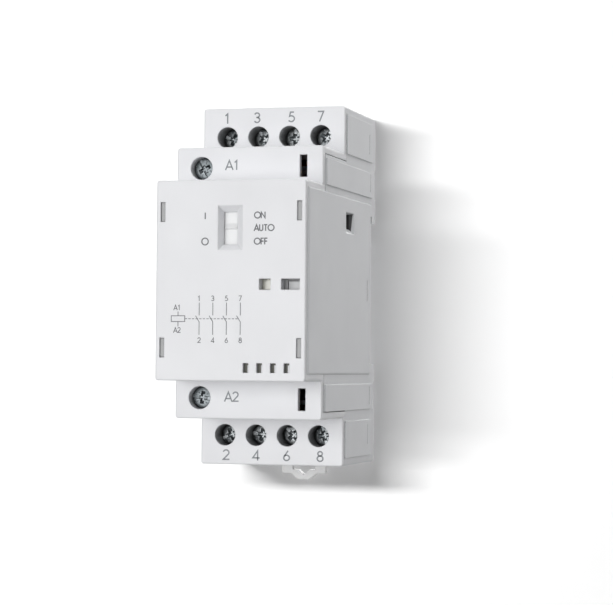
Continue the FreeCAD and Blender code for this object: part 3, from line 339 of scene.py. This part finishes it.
# A dark floor colour that paints the shade inside the vents.
OLIVE = moulded("olive_dim", (0.13, 0.13, 0.11), 0.5, 0.15, deep=0.8)
FRAME_GREY = moulded("frame_grey", (0.42, 0.42, 0.425), 0.5, 0.1, deep=0.8)
MARKING = ink("marking_grey", (0.235, 0.25, 0.265))
FINE_MARKING = ink("marking_dark", (0.13, 0.135, 0.145))

for part in frame["record"]["subparts"]:
    node = frame["nodes"][part["node"]]
    node.data.materials.clear()
    node.data.materials.append(LOOKS[part["material_slot"]])


# ---------------------------------------------------------------- mesh helpers
def add_piece(name, mesh_or_bmesh, body, look):
    """A piece from a finished mesh, riding on a CAD body."""
    if isinstance(mesh_or_bmesh, bmesh.types.BMesh):
        data = bpy.data.meshes.new(name)
        bmesh.ops.recalc_face_normals(mesh_or_bmesh, faces=mesh_or_bmesh.faces)
        mesh_or_bmesh.to_mesh(data)
        mesh_or_bmesh.free()
    else:
        data = mesh_or_bmesh
    data.materials.append(look)
    piece = bpy.data.objects.new(name, data)
    bpy.context.scene.collection.objects.link(piece)
    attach(piece, body)
    return piece


def ribbon(bm, points, width, face_y, thick=0.03 * MM, sunk=0.02 * MM, closed=False):
    """A flat inked line on a front face: points are (x, z), the line stands a hair proud of the face."""
    count = len(points)
    flat = [Vector((p[0], p[1])) for p in points]
    rails = []
    for index, point in enumerate(flat):
        before = flat[index - 1] if closed or index else None
        after = flat[(index + 1) % count] if closed or index < count - 1 else None
        into = (point - before).normalized() if before is not None else (after - point).normalized()
        out = (after - point).normalized() if after is not None else into
        tangent = (into + out).normalized()
        normal = Vector((-tangent.y, tangent.x))
        reach = width / 2 / max(0.35, normal.dot(Vector((-into.y, into.x))))
        rails.append((point + normal * reach, point - normal * reach))
    rows = []
    for left, right in rails:
        rows.append([
            bm.verts.new((side.x, depth, side.y))
            for side, depth in (
                (left, face_y - thick), (right, face_y - thick), (right, face_y + sunk), (left, face_y + sunk)
            )
        ])
    for index in range(count if closed else count - 1):
        here, there = rows[index], rows[(index + 1) % count]
        for corner in range(4):
            bm.faces.new((here[corner], there[corner], there[(corner + 1) % 4], here[(corner + 1) % 4]))
    if not closed:
        bm.faces.new(rows[0])
        bm.faces.new(list(reversed(rows[-1])))


def arc(centre_x, centre_y, radius, start, end, radius_y=None, steps=None):
    """Points on an arc, angles in degrees, counter-clockwise when the end is larger."""
    steps = steps or max(4, int(abs(end - start) / 12))
    radius_y = radius_y or radius
    return [
        (
            centre_x + radius * math.cos(math.radians(start + (end - start) * n / steps)),
            centre_y + radius_y * math.sin(math.radians(start + (end - start) * n / steps)),
        )
        for n in range(steps + 1)
    ]


# Each character as strokes in a box one unit high: (points, closed).
GLYPHS = {
    "1": [([(0.10, 0.74), (0.30, 0.93), (0.30, 0.0)], False)],
    "2": [(arc(0.28, 0.70, 0.25, 165, -35) + [(0.03, 0.05), (0.58, 0.05)], False)],
    "3": [(arc(0.27, 0.735, 0.215, 160, -90) + arc(0.27, 0.285, 0.24, 90, -155), False)],
    "4": [([(0.43, 0.0), (0.43, 0.92), (0.0, 0.25), (0.60, 0.25)], False)],
    "5": [([(0.50, 0.95), (0.20, 0.95), (0.12, 0.56)] + arc(0.27, 0.325, 0.275, 118, -145), False)],
    "6": [(arc(0.29, 0.30, 0.25, 0, 342), True), ([(0.42, 0.97), (0.10, 0.47)], False)],
    "7": [([(0.0, 0.95), (0.50, 0.95), (0.16, 0.0)], False)],
    "8": [(arc(0.28, 0.75, 0.20, 0, 340), True), (arc(0.28, 0.285, 0.25, 0, 342), True)],
    "A": [([(0.0, 0.0), (0.37, 0.95), (0.74, 0.0)], False), ([(0.12, 0.30), (0.62, 0.30)], False)],
    "F": [([(0.05, 0.0), (0.05, 0.95), (0.45, 0.95)], False), ([(0.05, 0.50), (0.42, 0.50)], False)],
    "I": [([(0.05, 0.0), (0.05, 1.0)], False)],
    "N": [([(0.05, 0.0), (0.05, 0.92), (0.62, 0.08), (0.62, 1.0)], False)],
    "O": [(arc(0.50, 0.50, 0.46, 0, 345), True)],
    "T": [([(0.0, 0.95), (0.50, 0.95)], False), ([(0.25, 0.95), (0.25, 0.0)], False)],
    "U": [([(0.05, 1.0)] + arc(0.29, 0.29, 0.24, 180, 360) + [(0.53, 1.0)], False)],
}
ADVANCE = {"1": 0.58, "I": 0.3, "A": 0.80, "O": 1.04, "N": 0.80, "F": 0.56, "T": 0.58, "U": 0.72}


def write(bm, text, left, low, height, stroke, face_y, stretch=1.0):
    """A word in stroked characters whose foot and left edge are given."""
    cursor = left
    for character in text:
        for points, closed in GLYPHS[character]:
            placed = [(cursor + x * height * stretch, low + z * height) for x, z in points]
            ribbon(bm, placed, stroke, face_y, closed=closed)
        cursor += ADVANCE.get(character, 0.72) * height * stretch


# ---------------------------------------------------------------- screws
def shell(bm, rings):
    """A closed skin through rings of points, each ring with the same number of points."""
    rows = [[bm.verts.new(point) for point in ring] for ring in rings]
    count = len(rows[0])
    for here, there in zip(rows, rows[1:]):
        for index in range(count):
            bm.faces.new((here[index], here[(index + 1) % count], there[(index + 1) % count], there[index]))
    bm.faces.new(list(reversed(rows[0])))
    bm.faces.new(rows[-1])


def ring(radius, depth, steps=48, ridge=None):
    """Points round the Y axis. A ridge gives the radius as a function of the turn, from 0 to 1."""
    points = []
    for step in range(steps):
        turn = step / steps
        reach = ridge(turn) if ridge else radius
        points.append((reach * math.cos(2 * math.pi * turn), depth, reach * math.sin(2 * math.pi * turn)))
    return points


def prism(outer, inner, front, back):
    """A block between two outlines in X and Z, the outer one at the front."""
    bm = bmesh.new()
    shell(bm, [[(x, front, z) for x, z in outer], [(x, back, z) for x, z in inner]])
    bmesh.ops.recalc_face_normals(bm, faces=bm.faces)
    return bm


def cross_outline(arm, half):
    """The twelve corners of a plus sign."""
    return [
        (arm, -half), (arm, half), (half, half), (half, arm), (-half, arm), (-half, half),
        (-arm, half), (-arm, -half), (-half, -half), (-half, -arm), (half, -arm), (half, -half),
    ]


def box_outline(reach, half, angle=0.0, start=None):
    """A rectangle along X, turned in the X-Z plane."""
    start = -reach if start is None else start
    corners = [(start, -half), (reach, -half), (reach, half), (start, half)]
    cosine, sine = math.cos(angle), math.sin(angle)
    return [(x * cosine - z * sine, x * sine + z * cosine) for x, z in corners]


def carved(body, cutters):
    """A mesh with other meshes cut out of it."""
    def placed(name, bm):
        data = bpy.data.meshes.new(name)
        bm.to_mesh(data)
        bm.free()
        made = bpy.data.objects.new(name, data)
        bpy.context.scene.collection.objects.link(made)
        return made

    host = placed("carving", body)
    tools = [placed(f"cutter_{index}", cutter) for index, cutter in enumerate(cutters)]
    for tool in tools:
        cut = host.modifiers.new(tool.name, "BOOLEAN")
        cut.operation = "DIFFERENCE"
        cut.solver = "EXACT"
        cut.object = tool
    bpy.context.view_layer.update()
    solid = bpy.data.meshes.new_from_object(host.evaluated_get(bpy.context.evaluated_depsgraph_get()))
    for made in (host, *tools):
        spare = made.data
        bpy.data.objects.remove(made)
        bpy.data.meshes.remove(spare)
    return solid


def screw_mesh(head, thick, dome, recess, core, crest, length, lead):
    """A pan head with a slot and a cross recess on a threaded shank, its top at the origin, running back."""
    bm = bmesh.new()
    crown = [(0.25, 0.02), (0.5, 0.09), (0.7, 0.20), (0.84, 0.36), (0.93, 0.58), (0.98, 0.85), (1.0, 1.2)]
    rings = [ring(head * part, dome * fall) for part, fall in crown]
    rings += [ring(head, thick - 0.15 * MM), ring(head - 0.15 * MM, thick)]
    shell(bm, rings)
    bmesh.ops.recalc_face_normals(bm, faces=bm.faces)
    above = -1.0 * MM
    slot = box_outline(head * 1.2, 0.38 * MM)
    cutters = [
        prism(cross_outline(head * 1.02, 0.86 * MM), cross_outline(head * 0.30, 0.20 * MM), above, recess),
        prism(slot, slot, above, 0.55 * MM),
    ]
    for quarter in range(4):
        mark = box_outline(head * 0.84, 0.07 * MM, math.radians(45 + 90 * quarter), head * 0.48)
        cutters.append(prism(mark, mark, above, dome * 0.25 + 0.09 * MM))
    data = carved(bm, cutters)
    bm = bmesh.new()
    bm.from_mesh(data)
    bpy.data.meshes.remove(data)
    steps, rows = 24, 4
    shank = []
    for row in range(int(rows * (length - thick) / lead) + 1):
        depth = thick - 0.1 * MM + row * lead / rows
        fade = min(1.0, (length - depth) / lead)

        def thread(turn, depth=depth, fade=fade):
            phase = (depth / lead - turn) % 1.0
            return core * (0.75 + 0.25 * fade) + (crest - core) * fade * (1 - abs(2 * phase - 1))

        shank.append(ring(core, depth, steps, thread))
    shell(bm, shank)
    for edge in bm.edges:
        edge.smooth = len(edge.link_faces) == 2 and edge.calc_face_angle(0.0) < math.radians(32)
    for face in bm.faces:
        face.smooth = True
    return bm


def place_screw(node, body, sizes, look, angle):
    """A detailed screw in the place of a CAD one, its recess turned by an angle in degrees."""
    low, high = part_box(node)
    centre = middle(node)
    bm = screw_mesh(length=high.y - low.y, **{key: value * MM for key, value in sizes.items()})
    spin = Matrix.Rotation(math.radians(angle), 4, "Y")
    shift = Matrix.Translation((centre.x, low.y, centre.z))
    bmesh.ops.transform(bm, matrix=shift @ spin, verts=bm.verts)
    piece = add_piece(f"{node}_driven", bm, body, look)
    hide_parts(node)


# In mm: head radius and thickness, fall of the dome, depth of the recess, core and crest radius, lead.
SCREW_SIZES = ("head", "thick", "dome", "recess", "core", "crest", "lead")
POWER_SCREW = dict(zip(SCREW_SIZES, (2.42, 1.9, 0.5, 1.15, 1.4, 1.72, 0.7)))
COIL_SCREW = dict(zip(SCREW_SIZES, (2.57, 1.75, 0.35, 0.75, 1.2, 1.47, 0.5)))
for order, number in enumerate(UPPER_TERMINALS + LOWER_TERMINALS):
    place_screw(f"terminal_screw_{number}", f"screw_{number}", POWER_SCREW, ZINC, 20 + 34 * order)
place_screw("coil_screw_a1", "screw_a1", COIL_SCREW, SHADED_ZINC, 62)
place_screw("coil_screw_a2", "screw_a2", COIL_SCREW, SHADED_ZINC, 8)


# ---------------------------------------------------------------- springs
def spring(node, body, turns, wire):
    """A compression spring of round wire along Y in the place of a CAD one, its end turns closed."""
    low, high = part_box(node)
    centre = (low + high) / 2
    radius = (high.x - low.x) / 2 - wire / 2
    rise = high.y - low.y - wire
    steps, sides = 20, 8
    open_pitch = (rise - 2 * wire) / (turns - 2)

    def along(turn):
        climbed = min(turn, 1) * wire + max(0.0, min(turn - 1, turns - 2)) * open_pitch
        return climbed + max(0.0, turn - turns + 1) * wire

    rings = []
    for step in range(int(turns * steps) + 1):
        turn = step / steps
        angle = 2 * math.pi * turn
        out = Vector((math.cos(angle), 0, math.sin(angle)))
        spot = Vector((centre.x, low.y + wire / 2 + along(turn), centre.z)) + out * radius
        rings.append([
            spot + out * (wire / 2 * math.cos(2 * math.pi * side / sides))
            + Vector((0, wire / 2 * math.sin(2 * math.pi * side / sides), 0))
            for side in range(sides)
        ])
    bm = bmesh.new()
    shell(bm, rings)
    for face in bm.faces:
        face.smooth = len(face.verts) == 4
    piece = add_piece(f"{node}_wound", bm, body, LOOKS["spring_steel"])
    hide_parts(node)
    return piece, Vector((centre.x, high.y, centre.z)), high.y - low.y


for side in ("left", "right"):
    piece, foot, length = spring(f"return_spring_{side}", "body", 6, 0.45 * MM)
    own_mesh(piece)
for number in (1, 2, 3, 4):
    spring(f"contact_spring_{number}", "moving_contacts", 5, 0.45 * MM)


# ---------------------------------------------------------------- openings, panel edges, mould marks
WINDOW_LOW, WINDOW_HIGH = -2.15 * MM, 0.3 * MM
FLAG_WINDOW_WIDTH = 4.27 * MM
FLAG_ASIDE = 0.9 * MM  # from the window's left edge to the flag
VENT_LEFT, VENT_WIDTH, VENT_PITCH = SIDE_X - 14.38 * MM, 1.3 * MM, 3.16 * MM
VENT_LOW, VENT_HIGH = -20.6 * MM, -18.5 * MM
PANEL_FRONT, PANEL_BACK, PANEL_TOP = NOSE_Y + 2.15 * MM, -0.8 * MM, 20.65 * MM


def block(bm, left, right, low, high, front, back):
    """A block whose depths are measured in from the nose."""
    outline = [(left, low), (right, low), (right, high), (left, high)]
    shell(bm, [[(x, NOSE_Y + depth, z) for x, z in outline] for depth in (front, back)])


def snap_tongues():
    """The ends of the catches that hold the cover, standing in its four corner slots, coloured darker than the
    housing as painted shade in the slots.
    """
    bm = bmesh.new()
    half_x, half_z, sunk, deep, lead = 0.51 * MM, 2.14 * MM, 0.3 * MM, 1.15 * MM, 0.1 * MM
    across = SIDE_X - 1.5 * MM
    outline = [(-half_x, -half_z), (half_x, -half_z), (half_x, half_z), (-half_x, half_z)]
    front = [(x - math.copysign(lead, x), z - math.copysign(lead, z)) for x, z in outline]
    rows = [(front, sunk), (outline, sunk + lead), (outline, deep)]
    for side in (-1, 1):
        for height in (15.4 * MM, -15.1 * MM):
            shell(bm, [
                [(side * across + x, NOSE_Y + depth, height + z) for x, z in row] for row, depth in rows
            ])
    add_piece("snap_tongues", bm, "body", TONGUE)


def ejector_marks():
    """The faint rings that a mould's ejector pins leave on the back."""
    bm = bmesh.new()
    proud, sunk = -0.03 * MM, -0.02 * MM
    for face_y, heights in ((0.0, (-9.5, 9.5)), (cad_high.y, (26.2,))):
        for height in heights:
            for across in (-10.5, 10.5):
                circle = arc(across * MM, height * MM, 1.5 * MM, 0, 352.5, steps=47)
                ribbon(bm, circle, 0.12 * MM, face_y, proud, sunk, closed=True)
    add_piece("ejector_marks", bm, "body", LOOKS["housing_plastic"])


def vent_inserts():
    """Each vent narrows to a ledge on its right, over a floor painted dark as the shade inside the vent."""
    ledges, floors = bmesh.new(), bmesh.new()
    ledge_front, ledge_back, floor_back, ledge_drop = 0.12 * MM, 1.1 * MM, 1.4 * MM, 0.4 * MM
    for number, ledge in enumerate((0.22, 0.24, 0.32, 0.38)):
        left = VENT_LEFT + number * VENT_PITCH
        right = left + VENT_WIDTH
        block(ledges, right - ledge * MM, right, VENT_LOW, VENT_HIGH - ledge_drop, ledge_front, ledge_back)
        block(floors, left, right, VENT_LOW, VENT_HIGH, ledge_back, floor_back)
    add_piece("vent_ledges", ledges, "body", LOOKS["cover_plastic"])
    add_piece("vent_floors", floors, "body", OLIVE)


def flag_frame():
    """The frame beside and above the flag, which closes the window off from the works."""
    bm = bmesh.new()
    flag_low, flag_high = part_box("indicator_flag")
    left = flag_low.x - FLAG_ASIDE
    front, back, play = 2.84 * MM, 3.3 * MM, 0.1 * MM
    beside = flag_low.x - play
    block(bm, left, beside, WINDOW_LOW, WINDOW_HIGH, front, back)
    block(bm, beside, left + FLAG_WINDOW_WIDTH, flag_high.z + play, WINDOW_HIGH, front, back)
    add_piece("flag_frame", bm, "body", FRAME_GREY)


def link_inserts():
    """A dark sheet on the sloped rear of each link window and on the wall of the slot behind it, painting the
    shade of a deeper hole.
    """
    bm = bmesh.new()
    proud, sunk = 0.04 * MM, -0.05 * MM
    slope_x, slope_y = 1.05 * MM, 1.2 * MM
    mouth_y, rear_y = -16.8 * MM, -18.0 * MM
    slot_low, slot_high, slot_x = 13.6 * MM, 17.2 * MM, PANEL_X - 2.2 * MM

    def on_slope(side, part, top, lift):
        """A point on the slope: part runs from 0 at the mouth to 1 at the slot."""
        height = (17.4 - 0.2 * part if top else 12.4 + 1.2 * part) * MM
        return (side * (PANEL_X - slope_x * part + 0.75 * lift), mouth_y - slope_y * part - 0.66 * lift, height)

    for side in (-1, 1):
        rows = []
        for upper, lower in ((0.34, 0.66), (1.0, 1.0)):
            rows.append([
                on_slope(side, upper, True, proud), on_slope(side, lower, False, proud),
                on_slope(side, lower, False, sunk), on_slope(side, upper, True, sunk),
            ])
        corners = ((-proud, slot_high), (-proud, slot_low), (-sunk, slot_low), (-sunk, slot_high))
        rows.append([(side * slot_x, rear_y + y, z) for y, z in corners])
        shell(bm, rows)
    add_piece("link_inserts", bm, "body", LOOKS["inner_plastic"])


def panel_bevels():
    """The bevel round the large raised panel of each side, wider at its front."""
    bm = bmesh.new()
    rise, wide = PANEL_X - SIDE_X, 2.2
    path = [
        (PANEL_BACK, PANEL_TOP, 0, 1), (PANEL_FRONT, PANEL_TOP, -wide, 1),
        (PANEL_FRONT, -PANEL_TOP, -wide, -1), (PANEL_BACK, -PANEL_TOP, 0, -1),
    ]
    for side in (-1, 1):
        shell(bm, [
            [
                (side * PANEL_X, y, z),
                (side * SIDE_X, y + out_y * rise, z + out_z * rise),
                (side * SIDE_X, y, z),
            ]
            for y, z, out_y, out_z in path
        ])
    add_piece("panel_bevels", bm, "body", LOOKS["housing_plastic"])


snap_tongues()
ejector_marks()
vent_inserts()
flag_frame()
link_inserts()
panel_bevels()


# ---------------------------------------------------------------- markings
def power_numbers():
    """The numbers of the power terminals, each a little aside of its screw's middle."""
    bm = bmesh.new()
    height, stroke, wide = 2.5 * MM, 0.33 * MM, 1.12
    aside = {1: -0.05, 3: -0.3, 5: 0.5, 7: 0.1, 2: 0.35, 4: 0.1, 6: -0.05, 8: 0.5}
    for numbers, foot in ((UPPER_TERMINALS, 38.9 * MM), (LOWER_TERMINALS, -41.5 * MM)):
        for number in numbers:
            left = middle(f"terminal_screw_{number}").x + aside[number] * MM - 0.3 * height * wide
            write(bm, str(number), left, foot, height, stroke, POWER_Y, wide)
    add_piece("marks_power_terminals", bm, "body", MARKING)


def coil_marks():
    """A1 and A2 beside the coil's screws."""
    bm = bmesh.new()
    height, stroke = 2.3 * MM, 0.3 * MM
    write(bm, "A1", -5.85 * MM, 25.95 * MM, height, stroke, COIL_Y, 1.06)
    write(bm, "A2", -5.6 * MM, -27.30 * MM, height, stroke, COIL_Y, 1.06)
    add_piece("marks_coil_terminals", bm, "body", MARKING)


def selector_words():
    """The selector's three places on its right, and its two signs on its left."""
    bm = bmesh.new()
    height, stroke = 1.45 * MM, 0.26 * MM
    for word, low in (("ON", 13.75), ("AUTO", 10.93), ("OFF", 7.93)):
        write(bm, word, 5.5 * MM, low * MM, height, stroke, NOSE_Y, 1.04)
    write(bm, "I", -6.05 * MM, 13.7 * MM, height, stroke, NOSE_Y)
    write(bm, "O", -6.8 * MM, 7.85 * MM, 1.65 * MM, stroke, NOSE_Y)
    add_piece("marks_selector", bm, "body", FINE_MARKING)


def circuit_diagram():
    """The contactor's symbol: a coil, a dashed link and one making contact for each pole."""
    bm = bmesh.new()
    line, text = 0.16 * MM, 1.2 * MM

    def draw(*points, closed=False, width=line):
        ribbon(bm, [(x * MM, z * MM) for x, z in points], width, NOSE_Y, closed=closed)

    draw((-13.8, -7.95), (-10.6, -7.95), (-10.6, -9.25), (-13.8, -9.25), closed=True)
    draw((-12.2, -7.0), (-12.2, -7.95))
    draw((-12.2, -9.25), (-12.2, -10.35))
    poles = (-7.2, -4.0, -0.8, 2.45)
    start = -10.6
    while start < poles[-1] - 0.6:
        draw((start, -8.62), (min(start + 0.55, poles[-1] - 0.5), -8.62))
        start += 0.85
    for x, upper, lower in zip(poles, UPPER_TERMINALS, LOWER_TERMINALS):
        draw((x, -5.0), (x, -7.85))
        draw((x - 0.85, -7.95), (x, -9.3), (x, -12.2))
        write(bm, str(upper), (x - 0.38) * MM, -4.65 * MM, text, line, NOSE_Y)
        write(bm, str(lower), (x - 0.32) * MM, -14.0 * MM, text, line, NOSE_Y)
    write(bm, "A1", -13.25 * MM, -6.7 * MM, text, line, NOSE_Y)
    write(bm, "A2", -13.25 * MM, -11.75 * MM, text, line, NOSE_Y)
    add_piece("marks_diagram", bm, "body", FINE_MARKING)


power_numbers()
coil_marks()
selector_words()
circuit_diagram()


# ---------------------------------------------------------------- stage, light and camera
def stage_material(name, colour, glow, see_through_back=False):
    """Pale and plain. It glows for camera and mirror rays only, so it reads white and keeps its shadow."""
    material = bpy.data.materials.new(name)
    material.use_nodes = True
    tree = material.node_tree
    tree.nodes.clear()
    link = tree.links.new
    output = tree.nodes.new("ShaderNodeOutputMaterial")
    matt = tree.nodes.new("ShaderNodeBsdfDiffuse")
    matt.inputs["Color"].default_value = (*colour, 1.0)
    light = tree.nodes.new("ShaderNodeEmission")
    path = tree.nodes.new("ShaderNodeLightPath")
    seen = tree.nodes.new("ShaderNodeMath")
    seen.operation = "MAXIMUM"
    link(path.outputs["Is Camera Ray"], seen.inputs[0])
    link(path.outputs["Is Glossy Ray"], seen.inputs[1])
    level = tree.nodes.new("ShaderNodeMath")
    level.operation = "MULTIPLY"
    level.inputs[1].default_value = glow
    link(seen.outputs[0], level.inputs[0])
    link(level.outputs[0], light.inputs["Strength"])
    both = tree.nodes.new("ShaderNodeAddShader")
    link(matt.outputs[0], both.inputs[0])
    link(light.outputs[0], both.inputs[1])
    shown = both.outputs[0]
    if see_through_back:
        geometry = tree.nodes.new("ShaderNodeNewGeometry")
        clear = tree.nodes.new("ShaderNodeBsdfTransparent")
        sides = tree.nodes.new("ShaderNodeMixShader")
        link(geometry.outputs["Backfacing"], sides.inputs[0])
        link(both.outputs[0], sides.inputs[1])
        link(clear.outputs[0], sides.inputs[2])
        shown = sides.outputs[0]
    link(shown, output.inputs["Surface"])
    return material


def stage_plane(name, corners, material):
    """One flat sheet of the stage."""
    data = bpy.data.meshes.new(name)
    data.from_pydata(corners, [], [(0, 1, 2, 3)])
    data.materials.append(material)
    plane = bpy.data.objects.new(name, data)
    bpy.context.scene.collection.objects.link(plane)
    return plane


WALL_Y = cad_high.y + 0.3 * MM
REACH = 1.6
FLOOR_Z = -0.35
wall = stage_plane(
    "wall",
    [(-REACH, WALL_Y, FLOOR_Z), (REACH, WALL_Y, FLOOR_Z), (REACH, WALL_Y, REACH), (-REACH, WALL_Y, REACH)],
    stage_material("wall_white", (1.0, 1.0, 1.0), 0.044, True),
)
wall.visible_diffuse = False
wall.visible_shadow = False
wall.visible_glossy = False
ground = stage_plane(
    "floor",
    [(-REACH, -REACH, FLOOR_Z), (REACH, -REACH, FLOOR_Z), (REACH, REACH, FLOOR_Z), (-REACH, REACH, FLOOR_Z)],
    stage_material("floor_white", (0.80, 0.80, 0.80), 0.62),
)


def world(level):
    """White to the camera and in reflections, a soft even level for everything else."""
    made = bpy.data.worlds.new("studio")
    bpy.context.scene.world = made
    made.use_nodes = True
    tree = made.node_tree
    background = tree.nodes["Background"]
    path = tree.nodes.new("ShaderNodeLightPath")
    total = tree.nodes.new("ShaderNodeMath")
    total.operation = "ADD"
    tree.links.new(path.outputs["Is Camera Ray"], total.inputs[0])
    tree.links.new(path.outputs["Is Transmission Ray"], total.inputs[1])
    mirror = tree.nodes.new("ShaderNodeMath")
    mirror.operation = "MAXIMUM"
    tree.links.new(total.outputs[0], mirror.inputs[0])
    tree.links.new(path.outputs["Is Glossy Ray"], mirror.inputs[1])
    strength = tree.nodes.new("ShaderNodeMapRange")
    strength.inputs["To Min"].default_value = level
    strength.inputs["To Max"].default_value = 1.0
    tree.links.new(mirror.outputs[0], strength.inputs["Value"])
    tree.links.new(strength.outputs["Result"], background.inputs["Strength"])
    background.inputs["Color"].default_value = (1.0, 1.0, 1.0, 1.0)


def light_group(name, members, state):
    """A set of objects that a lamp lights alone, or leaves out."""
    group = bpy.data.collections.new(name)
    for member in members:
        group.objects.link(member)
    for entry in group.collection_objects:
        entry.light_linking.link_state = state
    return group


def area_lamp(name, place, target, width, height, watts, lit):
    """A soft lamp aimed at a point, which lights only what its group says."""
    data = bpy.data.lights.new(name, "AREA")
    data.shape = "RECTANGLE"
    data.size = width
    data.size_y = height
    data.energy = watts
    lamp = bpy.data.objects.new(name, data)
    bpy.context.scene.collection.objects.link(lamp)
    lamp.location = place
    lamp.rotation_mode = "QUATERNION"
    lamp.rotation_quaternion = (Vector(target) - Vector(place)).to_track_quat("-Z", "Y")
    lamp.visible_camera = False
    lamp.light_linking.receiver_collection = lit


# The wall's shadow has a near lamp of its own, so that it spreads. The others light the object.
world(0.20)
stage_alone = light_group("stage_alone", [wall, ground], "INCLUDE")
all_but_stage = light_group("all_but_stage", [wall, ground], "EXCLUDE")
area_lamp("wall_key", (-0.18, -0.75, 0.13), (0, 0, 0), 0.39, 0.06, 4.94, stage_alone)
area_lamp("key", (-0.36, -1.5, -0.20), (0, 0, 0), 1.7, 1.3, 26.0, all_but_stage)
area_lamp("side_fill", (0.22, -0.03, 0.22), (0, 0, 0), 0.15, 0.15, 0.16, all_but_stage)
area_lamp("top", (0.15, -0.25, 1.4), (0, 0, 0), 0.7, 0.7, 8.0, all_but_stage)
area_lamp("rear_fill", (-0.2, 1.4, 0.3), (0, 0, 0), 0.8, 0.8, 9.0, all_but_stage)

camera_data = bpy.data.cameras.new("camera")
camera_data.sensor_width = 36.0
camera_data.lens = 127.72
camera_data.clip_start = 0.01
camera_data.clip_end = 20.0
camera = bpy.data.objects.new("camera", camera_data)
bpy.context.scene.collection.objects.link(camera)
right = Vector((0.96211, 0.27257, 0.00780)).normalized()
forward = Vector((-0.27268, 0.96165, 0.02970)).normalized()
up = right.cross(forward)
camera.matrix_world = Matrix((
    (right.x, up.x, -forward.x, 0.14861),
    (right.y, up.y, -forward.y, -0.51954),
    (right.z, up.z, -forward.z, -0.01925),
    (0, 0, 0, 1),
))
bpy.context.scene.camera = camera
bpy.context.scene.view_settings.view_transform = "Standard"
